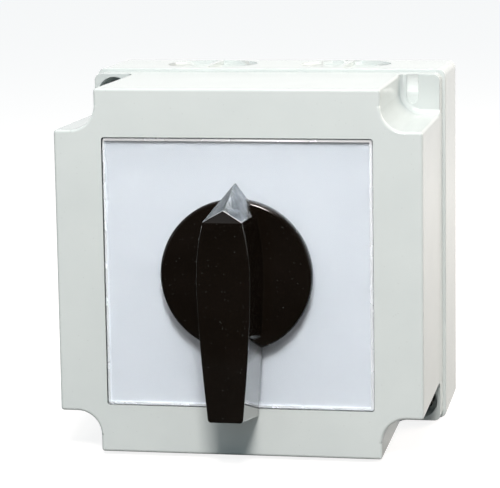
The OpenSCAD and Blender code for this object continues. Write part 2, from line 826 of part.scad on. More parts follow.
// One quarter of a deck's pockets, for the plunger on the right and its upper terminal
module deck_pockets(half_h) {
    slot_half = plunger_w / 2 + slide_fit;
    high = deck_d - deck_floor + over;
    tip_in = contact_y - contact_r - 0.9;
    pad_at = half_h - pad_len - pad_in;
    translate([0, 0, deck_floor]) {
        translate([cam_hub_r, -over, 0]) cube([spring_wall_x - cam_hub_r, slot_half + over, high]);
        translate([bridge_x - cam_lift - 0.4, -over, 0])
            cube([cam_lift + bar_t + 0.9, chamber_half + over, high]);
        translate([bar_x - 0.15, tip_in, 0])
            cube([bridge_x - bar_x + bar_t + 0.65, chamber_half - tip_in, high]);
    }
    translate([bar_x - 0.15, chamber_half - over, shelf]) cube([bar_t + 0.3, half_h, deck_d]);
    translate([pad_x - pocket_half, pad_at - 0.3, shelf]) cube([2 * pocket_half, half_h, deck_d]);
    translate([pad_x, pad_at + pad_len / 2, shelf - 5]) cylinder(h = 5 + over, r = terminal_screw_r + 0.2);
}

// Insulating housing of two poles, open to the front, from its rear face at Z = 0
module deck(half_h) {
    difference() {
        linear_extrude(deck_d) deck_plan(half_h);
        translate([0, 0, deck_floor]) cylinder(h = deck_d, r = cam_cavity_r);
        translate([0, 0, -over]) cylinder(h = deck_floor + 2 * over, r = floor_hole_r);
        in_four_quarters() deck_pockets(half_h);
        for (side = [-1, 1]) {
            translate([0, side * tie_pitch / 2, -over]) cylinder(h = deck_d + 2 * over, r = tie_r + 0.2);
        }
    }
}

module rear_deck() {
    color(deck_black) on_wall() translate([0, 0, rear_deck_z]) deck(front_deck_h / 2 + deck_step);
}

module front_deck() {
    color(deck_black) on_wall() translate([0, 0, front_deck_z]) deck(front_deck_h / 2);
}

// Four fixed contacts of a deck: a tip on a bar that runs out to a terminal pad
module fixed_contacts(half_h) {
    pad_at = half_h - pad_len - pad_in;
    bar_from = contact_y - contact_r - 0.7;
    in_four_quarters() {
        translate([bar_x, bar_from, shelf]) cube([bar_t, pad_at + over - bar_from, bar_w]);
        translate([fixed_tip_x - tip_t, contact_y, deck_middle]) rotate([0, 90, 0])
            cylinder(h = tip_t, r = contact_r);
        difference() {
            translate([pad_x - pad_w / 2, pad_at, shelf]) cube([pad_w, pad_len, bar_t]);
            translate([pad_x, pad_at + pad_len / 2, shelf - over])
                cylinder(h = bar_t + 2 * over, r = terminal_screw_r + terminal_screw_fit);
        }
    }
}

module rear_fixed_contacts() {
    color(copper) on_wall() translate([0, 0, rear_deck_z]) fixed_contacts(front_deck_h / 2 + deck_step);
}

module front_fixed_contacts() {
    color(copper) on_wall() translate([0, 0, front_deck_z]) fixed_contacts(front_deck_h / 2);
}

// Clamping saddles on the terminal pads, each a plate with two turned-down edges
module terminal_saddles(half_h) {
    in_four_quarters() translate([pad_x, half_h - pad_len / 2 - pad_in, shelf + bar_t]) difference() {
        translate([-pad_w / 2 + 0.5, -pad_len / 2 + 0.5, 0]) cube([pad_w - 1, pad_len - 1, saddle_t]);
        translate([0, 0, -over]) cylinder(h = saddle_t + 2 * over, r = terminal_screw_r + terminal_screw_fit);
        translate([-pad_w / 2 + 1.5, -pad_len / 2, -over]) cube([1.6, pad_len, over + 0.4]);
        translate([pad_w / 2 - 3.1, -pad_len / 2, -over]) cube([1.6, pad_len, over + 0.4]);
    }
}

module rear_terminal_saddles() {
    color(steel) on_wall() translate([0, 0, rear_deck_z]) terminal_saddles(front_deck_h / 2 + deck_step);
}

module front_terminal_saddles() {
    color(steel) on_wall() translate([0, 0, front_deck_z]) terminal_saddles(front_deck_h / 2);
}

// Screws of the four terminals of a deck
module terminal_screws(half_h) {
    in_four_quarters() translate([pad_x, half_h - pad_len / 2 - pad_in, shelf + bar_t + saddle_t])
        slotted_screw(3.2, 2.4, terminal_screw_r, saddle_t + bar_t + 4);
}

module rear_terminal_screws() {
    color(steel) on_wall() translate([0, 0, rear_deck_z]) terminal_screws(front_deck_h / 2 + deck_step);
}

module front_terminal_screws() {
    color(steel) on_wall() translate([0, 0, front_deck_z]) terminal_screws(front_deck_h / 2);
}

// Housing of the detent wheel and its two leaf springs, with the stops for the wheel's lug
module latch_housing() {
    floor_t = 2;
    stop_z = floor_t + wheel_t + 1;
    color(deck_black) on_wall() translate([0, 0, latch_z]) difference() {
        linear_extrude(latch_d) rounded_square(deck_w, deck_w, 3);
        translate([0, 0, -over]) cylinder(h = floor_t + 2 * over, r = floor_hole_r);
        difference() {
            translate([0, 0, floor_t]) cylinder(h = latch_d, r = latch_cavity_r);
            for (turn = [lug_at + stop_turn, lug_at - on_turn - stop_turn]) {
                rotate(turn) translate([stop_in_r, -stop_half, stop_z])
                    cube([latch_cavity_r, 2 * stop_half, latch_d]);
            }
        }
        on_both_sides() translate([leaf_shoulder_x - 0.5, 0, floor_t]) {
            translate([0, -leaf_reach - 0.3, 0]) cube([leaf_slot_w, 2 * (leaf_reach + 0.3), wheel_t + 0.5]);
            for (side = [-1, 1]) {
                translate([0, side * 0.75 * leaf_reach - leaf_reach / 4 - 0.3, 0])
                    cube([leaf_slot_w, leaf_reach / 2 + 0.6, latch_d]);
            }
        }
        for (side = [-1, 1]) {
            translate([0, side * tie_pitch / 2, -over]) cylinder(h = latch_d + 2 * over, r = tie_r + 0.2);
        }
    }
}

module latch_cover() {
    color(deck_black) on_wall() translate([0, 0, latch_cover_z]) difference() {
        linear_extrude(latch_cover_t) rounded_square(deck_w, deck_w, 3);
        translate([0, 0, -over]) cylinder(h = latch_cover_t + 2 * over, r = floor_hole_r);
        for (side = [-1, 1]) {
            translate([0, side * tie_pitch / 2, -over])
                cylinder(h = latch_cover_t + 2 * over, r = tie_r + 0.2);
        }
    }
}

// Two bent leaf springs whose noses lie in notches of the detent wheel
module detent_springs() {
    bend = [
        [leaf_end_x, -leaf_reach], [leaf_shoulder_x, -leaf_shoulder_y], [leaf_nose_x, 0],
        [leaf_shoulder_x, leaf_shoulder_y], [leaf_end_x, leaf_reach]
    ];
    last = len(bend) - 1;
    inner = [for (i = [0 : last]) [bend[i][0] - leaf_t / 2, bend[i][1]]];
    outer = [for (i = [last : -1 : 0]) [bend[i][0] + leaf_t / 2, bend[i][1]]];
    color(steel) on_wall() translate([0, 0, latch_z + 2.2]) on_both_sides() linear_extrude(wheel_t)
        polygon(concat(inner, outer));
}

// Two long bolts that tie the stack together
module tie_bolts() {
    head_h = 2.4;
    color(steel) on_wall() for (side = [-1, 1]) {
        translate([0, side * tie_pitch / 2, end_plate_z + 0.1]) {
            cylinder(h = head_h, r = tie_r + 1.9);
            cylinder(h = stack_top_z - end_plate_z + 4, r = tie_r);
        }
    }
}

module tie_nuts() {
    color(steel) on_wall() for (side = [-1, 1]) {
        translate([0, side * tie_pitch / 2, stack_top_z]) difference() {
            cylinder(h = 3.2, r = tie_r + 2, $fn = 6);
            translate([0, 0, -over]) cylinder(h = 3.2 + 2 * over, r = tie_r + pilot_fit);
        }
    }
}

// Brass terminal with two clamped wire holes, on a moulded seat
module brass_terminal() {
    translate([brass_x, 0, wall + brass_seat_d]) difference() {
        translate([-brass_w / 2, -brass_len / 2, 0]) cube([brass_w, brass_len, brass_d]);
        translate([0, 0, -over]) cylinder(h = brass_d + 2 * over, r = brass_screw_r + pilot_fit);
        for (side = [-1, 1]) {
            translate([-brass_w, side * brass_screw_y, brass_d / 2 - 1]) rotate([0, 90, 0])
                cylinder(h = 2 * brass_w, r = brass_wire_r);
            translate([0, side * brass_screw_y, brass_d / 2])
                cylinder(h = brass_d, r = brass_screw_r + pilot_fit);
        }
    }
}

// The terminal's fixing screw in the middle and its two clamping screws
module brass_terminal_screws() {
    top = wall + brass_seat_d + brass_d;
    translate([brass_x, 0, top]) slotted_screw(3, 2, brass_screw_r, brass_d + 4);
    for (side = [-1, 1]) {
        translate([brass_x, side * brass_screw_y, top]) slotted_screw(3, 2, brass_screw_r, 3.5);
    }
}

module earth_terminal() {
    color(brass) on_wall() mirror([1, 0, 0]) brass_terminal();
}

module earth_screws() {
    color(steel) on_wall() mirror([1, 0, 0]) brass_terminal_screws();
}

module neutral_terminal() {
    color(brass) on_wall() brass_terminal();
}

module neutral_screws() {
    color(steel) on_wall() brass_terminal_screws();
}

// ---- switch: turning pieces ----

// Square shaft with a round journal at its rear end
module switch_shaft() {
    color(steel) on_wall() {
        translate([-shaft_w / 2, -shaft_w / 2, rear_deck_z])
            cube([shaft_w, shaft_w, shaft_top_z - rear_deck_z]);
        translate([0, 0, shaft_rear_z]) cylinder(h = rear_deck_z - shaft_rear_z + over, r = journal_r);
    }
}

// Radius of a cam at an angle: it falls and rises evenly, with its peaks at the plungers when off
function cam_radius(turn) = cam_r - cam_lift * (1 - abs((turn % 180) - 90) / 90);

// Two-lobed cam with the spacing hub that carries it between the decks' floors
module cam() {
    step = 5;
    hole_w = shaft_w + 2 * shaft_fit;
    difference() {
        union() {
            cylinder(h = deck_d, r = cam_hub_r);
            translate([0, 0, deck_middle - cam_t / 2]) linear_extrude(cam_t)
                polygon([for (turn = [0 : step : 360 - step]) cam_radius(turn) * [cos(turn), sin(turn)]]);
        }
        translate([-hole_w / 2, -hole_w / 2, -over]) cube([hole_w, hole_w, deck_d + 2 * over]);
    }
}

module rear_cam() {
    color(cam_ivory) on_wall() translate([0, 0, rear_deck_z]) cam();
}

module front_cam() {
    color(cam_ivory) on_wall() translate([0, 0, front_deck_z]) cam();
}

// Wheel with four notches for the leaf springs, and a lug that meets the housing's stops
module detent_wheel() {
    hole_w = shaft_w + 2 * shaft_fit;
    hub_len = latch_d + latch_cover_t + 0.2;
    notch_in = leaf_nose_x - 0.9;
    flank = leaf_shoulder_y / (leaf_shoulder_x - leaf_nose_x);
    notch_out = wheel_r + 2;
    mouth = (notch_out - notch_in) * flank;
    lug_ring_r = cam_hub_r + 3;
    color(cam_ivory) on_wall() translate([0, 0, latch_z]) difference() {
        union() {
            cylinder(h = hub_len, r = cam_hub_r);
            translate([0, 0, 2.3]) difference() {
                cylinder(h = wheel_t + 0.4, r = wheel_r);
                for (turn = [0 : 90 : 270]) {
                    rotate(turn) translate([0, 0, -over]) linear_extrude(wheel_t + 2 * over + 0.4)
                        polygon([[notch_in, 0], [notch_out, -mouth], [notch_out, mouth]]);
                }
            }
            rotate(lug_at) translate([lug_ring_r - 2, -lug_half, lug_z])
                cube([lug_r - lug_ring_r + 2, 2 * lug_half, lug_t]);
            translate([0, 0, 2 + wheel_t]) cylinder(h = lug_z + lug_t - 2 - wheel_t, r = lug_ring_r);
        }
        translate([-hole_w / 2, -hole_w / 2, -over]) cube([hole_w, hole_w, hub_len + 2 * over]);
    }
}

// Clip on the shaft that keeps the cams and the wheel together
module shaft_clip() {
    hole_w = shaft_w + 2 * shaft_fit;
    color(steel) on_wall() translate([0, 0, stack_top_z + 0.2]) difference() {
        cylinder(h = clip_t, r = cam_hub_r + 2);
        translate([-hole_w / 2, -hole_w / 2, -over]) cube([hole_w, hole_w, clip_t + 2 * over]);
    }
}

// ---- switch: sliding contacts ----

// Plunger with a round nose, a window for its bridge and a bore for its spring
module plunger() {
    high = deck_d - deck_floor - 2 * slide_fit;
    half = plunger_w / 2;
    difference() {
        translate([0, 0, deck_floor + slide_fit]) linear_extrude(high) {
            translate([nose_x + half, 0]) circle(half);
            translate([nose_x + half, -half]) square([plunger_len - half, plunger_w]);
        }
        translate([bridge_x, -plunger_w, deck_middle - bar_w / 2]) cube([bar_t, 2 * plunger_w, bar_w]);
        translate([spring_seat_x, 0, deck_middle]) rotate([0, 90, 0])
            cylinder(h = plunger_len, r = spring_bore_r);
    }
}

// Copper bridge with a silver tip at each end
module bridge() {
    translate([bridge_x, -bridge_len / 2, deck_middle - bar_w / 2]) cube([bar_t, bridge_len, bar_w]);
    for (side = [-1, 1]) {
        translate([bridge_x - tip_t, side * contact_y, deck_middle]) rotate([0, 90, 0])
            cylinder(h = tip_t + sliver, r = contact_r);
    }
}

// Points of the spring's wire: rings of six points that wind up a helix
function spring_ring(turn, rise) = [
    for (side = [0 : 60 : 300]) [
        (spring_r + spring_wire_r * cos(side)) * cos(turn),
        (spring_r + spring_wire_r * cos(side)) * sin(turn),
        rise + spring_wire_r * sin(side)
    ]
];

// Coil spring between the plunger's bore and the deck's wall, at its length when the switch is off
module coil_spring() {
    rings = 8 * spring_turns;
    length = spring_wall_x - spring_seat_x;
    climb = (length - 2 * spring_wire_r) / rings;
    points = [for (i = [0 : rings]) each spring_ring(45 * i, spring_wire_r + climb * i)];
    skin = [
        for (i = [0 : rings - 1], j = [0 : 5]) each [
            [6 * i + j, 6 * i + (j + 1) % 6, 6 * (i + 1) + j],
            [6 * i + (j + 1) % 6, 6 * (i + 1) + (j + 1) % 6, 6 * (i + 1) + j]
        ]
    ];
    start_cap = [[5, 4, 3, 2, 1, 0]];
    end_cap = [[for (j = [0 : 5]) 6 * rings + j]];
    translate([spring_seat_x, 0, deck_middle]) rotate([0, 90, 0])
        polyhedron(points = points, faces = concat(skin, start_cap, end_cap));
}

module rear_right_plunger() {
    color(cam_ivory) on_wall() translate([0, 0, rear_deck_z]) plunger();
}

module rear_left_plunger() {
    color(cam_ivory) on_wall() translate([0, 0, rear_deck_z]) mirror([1, 0, 0]) plunger();
}

module front_right_plunger() {
    color(cam_ivory) on_wall() translate([0, 0, front_deck_z]) plunger();
}

module front_left_plunger() {
    color(cam_ivory) on_wall() translate([0, 0, front_deck_z]) mirror([1, 0, 0]) plunger();
}

module rear_right_bridge() {
    color(copper) on_wall() translate([0, 0, rear_deck_z]) bridge();
}

module rear_left_bridge() {
    color(copper) on_wall() translate([0, 0, rear_deck_z]) mirror([1, 0, 0]) bridge();
}

module front_right_bridge() {
    color(copper) on_wall() translate([0, 0, front_deck_z]) bridge();
}

module front_left_bridge() {
    color(copper) on_wall() translate([0, 0, front_deck_z]) mirror([1, 0, 0]) bridge();
}

module rear_right_spring() {
    color(steel) on_wall() translate([0, 0, rear_deck_z]) coil_spring();
}

module rear_left_spring() {
    color(steel) on_wall() translate([0, 0, rear_deck_z]) mirror([1, 0, 0]) coil_spring();
}

module front_right_spring() {
    color(steel) on_wall() translate([0, 0, front_deck_z]) coil_spring();
}

module front_left_spring() {
    color(steel) on_wall() translate([0, 0, front_deck_z]) mirror([1, 0, 0]) coil_spring();
}

base_box();
lid();
lid_gasket();
lid_screws();
face_plate();
clear_cover();
shaft_seal();
mounting_plate();
mounting_screws();
switch_screws();
rear_end_plate();
rear_deck();
front_deck();
rear_fixed_contacts();
front_fixed_contacts();
rear_terminal_saddles();
front_terminal_saddles();
rear_terminal_screws();
front_terminal_screws();
latch_housing();
latch_cover();
detent_springs();
tie_bolts();
tie_nuts();
earth_terminal();
earth_screws();
neutral_terminal();
neutral_screws();
handle();
pointer();
handle_clip();
switch_shaft();
rear_cam();
front_cam();
detent_wheel();
shaft_clip();
rear_right_plunger();
rear_left_plunger();
front_right_plunger();
front_left_plunger();
rear_right_bridge();
rear_left_bridge();
front_right_bridge();
front_left_bridge();
rear_right_spring();
rear_left_spring();
front_right_spring();
front_left_spring();
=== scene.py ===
import math

import bmesh
import bpy
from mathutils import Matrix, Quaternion, Vector


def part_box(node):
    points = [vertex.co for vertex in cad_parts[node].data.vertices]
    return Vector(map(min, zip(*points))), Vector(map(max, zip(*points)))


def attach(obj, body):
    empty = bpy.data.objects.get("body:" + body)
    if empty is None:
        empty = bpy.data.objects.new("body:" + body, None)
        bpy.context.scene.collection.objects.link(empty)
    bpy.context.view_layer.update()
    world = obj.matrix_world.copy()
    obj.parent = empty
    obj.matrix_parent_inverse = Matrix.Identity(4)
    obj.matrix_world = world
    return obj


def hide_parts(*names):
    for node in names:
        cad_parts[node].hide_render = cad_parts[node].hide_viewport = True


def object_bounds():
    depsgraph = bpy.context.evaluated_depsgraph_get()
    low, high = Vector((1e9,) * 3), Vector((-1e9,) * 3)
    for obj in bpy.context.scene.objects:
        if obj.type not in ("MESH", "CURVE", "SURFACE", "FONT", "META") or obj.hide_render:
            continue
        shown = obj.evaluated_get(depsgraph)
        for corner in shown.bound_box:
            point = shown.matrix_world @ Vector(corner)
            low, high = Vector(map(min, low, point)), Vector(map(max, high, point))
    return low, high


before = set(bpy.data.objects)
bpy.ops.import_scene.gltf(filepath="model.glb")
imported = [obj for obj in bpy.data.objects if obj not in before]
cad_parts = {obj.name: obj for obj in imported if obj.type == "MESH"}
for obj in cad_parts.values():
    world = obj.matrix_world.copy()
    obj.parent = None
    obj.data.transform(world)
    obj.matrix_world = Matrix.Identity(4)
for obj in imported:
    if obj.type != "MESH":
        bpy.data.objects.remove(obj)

cad_low, cad_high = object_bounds()
scene = bpy.context.scene
scene.view_settings.view_transform = "Standard"

# ---- Camera ----
# A long lens looks at the isolator's front from a little to the right of it and a little above it.
# The lens is shifted by a few hundredths only, to set the box in the frame.
sight_turn, sight_rise, sight_roll = math.radians(9.7), math.radians(8.32), math.radians(-0.73)
sight_back = Vector((
    math.sin(sight_turn) * math.cos(sight_rise),
    -math.cos(sight_turn) * math.cos(sight_rise),
    math.sin(sight_rise),
))
aim_point, distance = Vector((0.0106, -0.060, 0.0172)), 0.736
lens_data = bpy.data.cameras.new("camera")
lens_data.sensor_width, lens_data.lens = 36, 156.816
lens_data.shift_x, lens_data.shift_y = -0.08, -0.08
lens_data.clip_start, lens_data.clip_end = 0.05, 20
camera = bpy.data.objects.new("camera", lens_data)
camera.rotation_mode = "QUATERNION"
camera.rotation_quaternion = sight_back.to_track_quat("Z", "Y") @ Quaternion((0, 0, 1), sight_roll)
camera.location = aim_point + sight_back * distance
scene.collection.objects.link(camera)
scene.camera = camera

# ---- Floor and light ----
# The isolator stands on a plain white floor in a white room. A broad softbox hangs over it, a small key
# light stands high in front, and a warm fill light lights its right side from behind.


def feed(tree, value, socket):
    """Links a socket, or sets a plain value."""
    if isinstance(value, bpy.types.NodeSocket):
        tree.links.new(value, socket)
    else:
        socket.default_value = value


def add_node(tree, kind, **values):
    """Adds a node and feeds its inputs by name."""
    node = tree.nodes.new(kind)
    for name, value in values.items():
        feed(tree, value, node.inputs[name.replace("_", " ")])
    return node


def reckon(tree, operation, *values, kind="ShaderNodeMath", result=0):
    """Works out a sum, a product or another step of reckoning."""
    node = tree.nodes.new(kind)
    node.operation = operation
    for value, socket in zip(values, node.inputs):
        feed(tree, value, socket)
    return node.outputs[result]


def spread(tree, by, low, high, start, end):
    """Goes from low to high while a value goes from start to end."""
    limits = {"From Min": start, "From Max": end, "To Min": low, "To Max": high}
    return add_node(tree, "ShaderNodeMapRange", Value=by, **limits).outputs[0]


def apart(tree, vector):
    """A vector's X, Y and Z."""
    return add_node(tree, "ShaderNodeSeparateXYZ", Vector=vector).outputs


def share_out(tree, share, first, second):
    """Shows the second shader by a share, and the first one for the rest."""
    mix = tree.nodes.new("ShaderNodeMixShader")
    for value, socket in zip((share, first, second), mix.inputs):
        tree.links.new(value, socket)
    return mix.outputs[0]


def white_to_the_eye(tree, lit, white):
    """Shows white to camera, mirror and glass rays, and the lit surface to all others."""
    rays = tree.nodes.new("ShaderNodeLightPath").outputs
    seen = reckon(tree, "MAXIMUM", rays["Is Camera Ray"], rays["Is Glossy Ray"])
    seen = reckon(tree, "MAXIMUM", seen, rays["Is Transmission Ray"])
    return share_out(tree, seen, lit, white)


def lay_floor():
    mesh = bpy.data.meshes.new("floor")
    level, reach = cad_low.z - 0.0002, 3.0
    corners = ((-reach, -reach), (reach, -reach), (reach, reach), (-reach, reach))
    mesh.from_pydata([(x, y, level) for x, y in corners], [], [(0, 1, 2, 3)])
    floor = bpy.data.objects.new("floor", mesh)
    scene.collection.objects.link(floor)
    paint = bpy.data.materials.new("floor_white")
    paint.use_nodes = True
    tree = paint.node_tree
    tree.nodes.clear()
    lit = add_node(tree, "ShaderNodeBsdfDiffuse", Color=(0.30, 0.29, 0.28, 1)).outputs[0]
    glow = add_node(tree, "ShaderNodeEmission", Strength=0.86).outputs[0]
    white = tree.nodes.new("ShaderNodeAddShader")
    for shader, socket in zip((lit, glow), white.inputs):
        tree.links.new(shader, socket)
    place = tree.nodes.new("ShaderNodeTexCoord").outputs["Object"]
    at = apart(tree, place)
    # In front of the box and out to its sides, where the room is dark, gloss finds the floor dark.
    past_side = reckon(tree, "SUBTRACT", reckon(tree, "ABSOLUTE", at["X"]), cad_high.x)
    slant = -2.5
    forward = reckon(tree, "MULTIPLY_ADD", reckon(tree, "MAXIMUM", past_side, 0.0), slant, at["Y"])
    far = spread(tree, forward, 0.0, 0.99, -0.05, -0.10)
    # Round the box's foot, where it keeps light off the floor, gloss finds the floor dim as well.
    box_foot = (0, cad_low.y / 2, level)
    from_foot = reckon(tree, "DISTANCE", place, box_foot, kind="ShaderNodeVectorMath", result="Value")
    near = spread(tree, from_foot, 0.38, 0.0, 0.10, 0.60)
    to_gloss = tree.nodes.new("ShaderNodeLightPath").outputs["Is Glossy Ray"]
    dark_share = reckon(tree, "MULTIPLY", to_gloss, reckon(tree, "MAXIMUM", far, near))
    dark = add_node(tree, "ShaderNodeEmission", Strength=0.02).outputs[0]
    shown = share_out(tree, dark_share, white_to_the_eye(tree, lit, white.outputs[0]), dark)
    add_node(tree, "ShaderNodeOutputMaterial", Surface=shown)
    mesh.materials.append(paint)


def hang_room():
    world = bpy.data.worlds.new("studio")
    world.use_nodes = True
    tree = world.node_tree
    tree.nodes.clear()
    dim = add_node(tree, "ShaderNodeBackground", Color=(0.66, 0.88, 1.0, 1), Strength=0.27).outputs[0]
    # Behind the box the room is white. It is dark in front, where the camera stands, and dim overhead.
    toward = apart(tree, tree.nodes.new("ShaderNodeTexCoord").outputs["Generated"])
    front_to_back = spread(tree, toward["Y"], 0.02, 1.0, -0.55, 0.1)
    wall_to_ceiling = spread(tree, toward["Z"], 1.0, 0.40, 0.18, 0.50)
    mirrored = reckon(tree, "MULTIPLY", front_to_back, wall_to_ceiling)
    rays = tree.nodes.new("ShaderNodeLightPath").outputs
    plain = reckon(tree, "ADD", rays["Is Transmission Ray"], rays["Is Camera Ray"])
    strength = reckon(tree, "MAXIMUM", mirrored, plain)
    white = add_node(tree, "ShaderNodeBackground", Color=(1, 1, 1, 1), Strength=strength).outputs[0]
    add_node(tree, "ShaderNodeOutputWorld", Surface=white_to_the_eye(tree, dim, white))
    scene.world = world


def hang_lamp(name, place, aim, size, power, tint):
    data = bpy.data.lights.new(name, "AREA")
    data.shape = "RECTANGLE"
    data.size, data.size_y = size
    data.energy = power
    data.color = tint
    lamp = bpy.data.objects.new(name, data)
    lamp.location = place
    lamp.rotation_mode = "QUATERNION"
    lamp.rotation_quaternion = (Vector(place) - Vector(aim)).to_track_quat("Z", "Y")
    scene.collection.objects.link(lamp)


lay_floor()
hang_room()
hang_lamp("overhead_softbox", (0.05, -0.25, 0.95), (0, -0.05, 0), (0.9, 0.8), 4.3, (1.0, 0.93, 0.88))
hang_lamp("key_softbox", (0.125, -0.93, 0.78), (0, -0.10, 0), (0.26, 0.24), 12.4, (1.0, 0.945, 0.925))
hang_lamp("right_softbox", (0.68, 0.42, 0.40), (0.03, -0.05, 0), (0.5, 0.5), 5.6, (1.0, 0.84, 0.73))

# ---- Base and lid ----
# Two mouldings of light grey glass-filled plastic: the base that is screwed to the wall, and the deep
# lid with its four corner notches. The moulded skin has a fine grain and slightly polished edges.


def start_group(name, kind, inputs, outputs):
    """A new node group, with what it is given and what it makes. An input is stated by its kind or value."""
    tree = bpy.data.node_groups.new(name, kind + "NodeTree")
    kinds = {float: "Float", int: "Int", tuple: "Vector"}
    for label, value in inputs.items():
        sort = kinds.get(type(value), value)
        socket = tree.interface.new_socket(name=label, in_out="INPUT", socket_type="NodeSocket" + sort)
        if value is not sort:
            socket.default_value = value
    for label, sort in outputs.items():
        tree.interface.new_socket(name=label, in_out="OUTPUT", socket_type="NodeSocket" + sort)
    return tree, tree.nodes.new("NodeGroupInput").outputs, tree.nodes.new("NodeGroupOutput").inputs


def hand_over(tree, made, **results):
    """Links a node group's results to its outputs."""
    for name, result in results.items():
        tree.links.new(result, made[name])


def make_moulded_grain():
    """Fine pebble of a spark-eroded mould, with soft mottling and a few specks."""
    tree, given, made = start_group(
        "moulded_grain", "Shader", {"Place": "Vector", "Pebbles per metre": 2600.0, "Clouds per metre": 60.0},
        {"Height": "Float", "Mottle": "Float", "Speck": "Float"})
    place = given["Place"]
    pebble = add_node(
        tree, "ShaderNodeTexNoise", Vector=place, Scale=given["Pebbles per metre"], Detail=2.0, Roughness=0.6)
    cloud = add_node(tree, "ShaderNodeTexNoise", Vector=place, Scale=given["Clouds per metre"], Detail=4.0)
    cell = add_node(tree, "ShaderNodeTexVoronoi", Vector=place, Scale=420.0)
    speck = spread(tree, cell.outputs["Distance"], 0.0, 1.0, 0.10, 0.05)
    hand_over(tree, made, Height=pebble.outputs["Fac"], Mottle=cloud.outputs["Fac"], Speck=speck)
    return tree


def make_edge_wear_and_highlight():
    """One along rounded edges, nought on flat faces: edges that hands and tools have rubbed, and painted
    highlights.
    """
    tree, given, made = start_group(
        "edge_wear_and_highlight", "Shader", {"Place": "Vector", "Width": 0.0005}, {"Rub": "Float"})
    rounded = add_node(tree, "ShaderNodeBevel", Radius=given["Width"])
    rounded.samples = 4
    flat = tree.nodes.new("ShaderNodeNewGeometry").outputs["Normal"]
    agree = reckon(
        tree, "DOT_PRODUCT", rounded.outputs[0], flat, kind="ShaderNodeVectorMath", result="Value")
    bend = spread(tree, agree, 0.0, 1.0, 0.995, 0.85)
    patch = add_node(tree, "ShaderNodeTexNoise", Vector=given["Place"], Scale=350.0)
    edge_share = reckon(tree, "SUBTRACT", bend, reckon(tree, "MULTIPLY", patch.outputs["Fac"], 0.4))
    hand_over(tree, made, Rub=reckon(tree, "MAXIMUM", edge_share, 0.0))
    return tree


moulded_grain, edge_wear_and_highlight = make_moulded_grain(), make_edge_wear_and_highlight()


class Finish:
    """A material under construction: one Principled shader and the patterns that drive it."""

    def __init__(self, name, metallic=0.0, ior=1.5):
        self.material = bpy.data.materials.new(name)
        self.material.use_nodes = True
        self.tree = self.material.node_tree
        self.shader = self.tree.nodes["Principled BSDF"]
        self.set(Metallic=metallic, IOR=ior)
        self.place = self.tree.nodes.new("ShaderNodeTexCoord").outputs["Object"]

    def set(self, **sockets):
        for name, value in sockets.items():
            feed(self.tree, value, self.shader.inputs[name.replace("_", " ")])

    def group(self, pattern, **values):
        node = self.tree.nodes.new("ShaderNodeGroup")
        node.node_tree = pattern
        for name, value in dict(values, Place=self.place).items():
            feed(self.tree, value, node.inputs[name.replace("_", " ")])
        return node.outputs

    def noise(self, scale, detail, stretch=(1, 1, 1)):
        along = add_node(self.tree, "ShaderNodeMapping", Vector=self.place, Scale=stretch)
        texture = add_node(
            self.tree, "ShaderNodeTexNoise", Vector=along.outputs[0], Scale=scale, Detail=detail)
        return texture.outputs["Fac"]

    def over(self, base, colour, by):
        """Lays one colour over another as far as a mask says."""
        lay = self.tree.nodes.new("ShaderNodeMix")
        lay.data_type = "RGBA"
        # A Mix node has a set of sockets for each kind of value, and these are the ones for colours.
        factor, under, top, result = 0, 6, 7, 2
        for value, socket in ((by, factor), (base, under), (colour, top)):
            feed(self.tree, (*value, 1) if isinstance(value, tuple) else value, lay.inputs[socket])
        return lay.outputs[result]

    def tone(self, by, low, high, start=0.3, end=0.7):
        return self.over(low, high, self.spread(by, 0.0, 1.0, start, end))

    def spread(self, by, low, high, start=0.3, end=0.7):
        return spread(self.tree, by, low, high, start, end)

    def scaled(self, by, *amounts):
        """A mask times one or more numbers or masks."""
        for amount in amounts:
            by = reckon(self.tree, "MULTIPLY", by, amount)
        return by

    def bump(self, height, strength, depth):
        node = add_node(self.tree, "ShaderNodeBump", Height=height, Strength=strength, Distance=depth)
        self.set(Normal=node.outputs[0])

    def along(self, axis):
        """How far a point lies along an axis, with its sign."""
        return apart(self.tree, self.place)[axis]

    def off(self, axis):
        """How far a point lies from the middle along an axis."""
        return reckon(self.tree, "ABSOLUTE", self.along(axis))

    def off_centre(self, operation="MAXIMUM"):
        """The larger or smaller of a point's distances from the middle, across and up."""
        return reckon(self.tree, operation, self.off("X"), self.off("Z"))


def joint_shadow(finish):
    """One on the walls of the recess round the pane, where shade is painted into the joint."""
    near = finish.spread(finish.off_centre(), 1.0, 0.0, recess_reach, recess_reach + hair)
    deep = finish.spread(finish.off("Y"), 0.0, 1.0, recess_zone, recess_zone + 2 * hair)
    facing = apart(finish.tree, finish.tree.nodes.new("ShaderNodeNewGeometry").outputs["True Normal"])
    on_wall = finish.spread(reckon(finish.tree, "ABSOLUTE", facing["Y"]), 1.0, 0.0, 0.5, 0.6)
    return finish.scaled(near, deep, on_wall)


def notch_painted_shade(finish):
    """Painted shade: one on the walls of the lid's corner notches, and a half on their floors."""
    in_notch = finish.spread(finish.off_centre("MINIMUM"), 0.0, 1.0, notch_reach - hair, notch_reach + hair)
    # Each fade lies within a few millimetres of the floor, wall or front that it belongs to.
    depth = finish.off("Y")
    on_floor = finish.spread(depth, 0.0, 1.0, flange_depth - 0.0010, flange_depth - 0.0002)
    up_wall = finish.spread(depth, 0.5, 1.0, flange_depth + 0.0020, flange_depth + 0.0045)
    behind_front = finish.spread(depth, 0.0, 1.0, lid_front - 0.0006, lid_front - 0.0016)
    return finish.scaled(in_notch, on_floor, up_wall, behind_front)


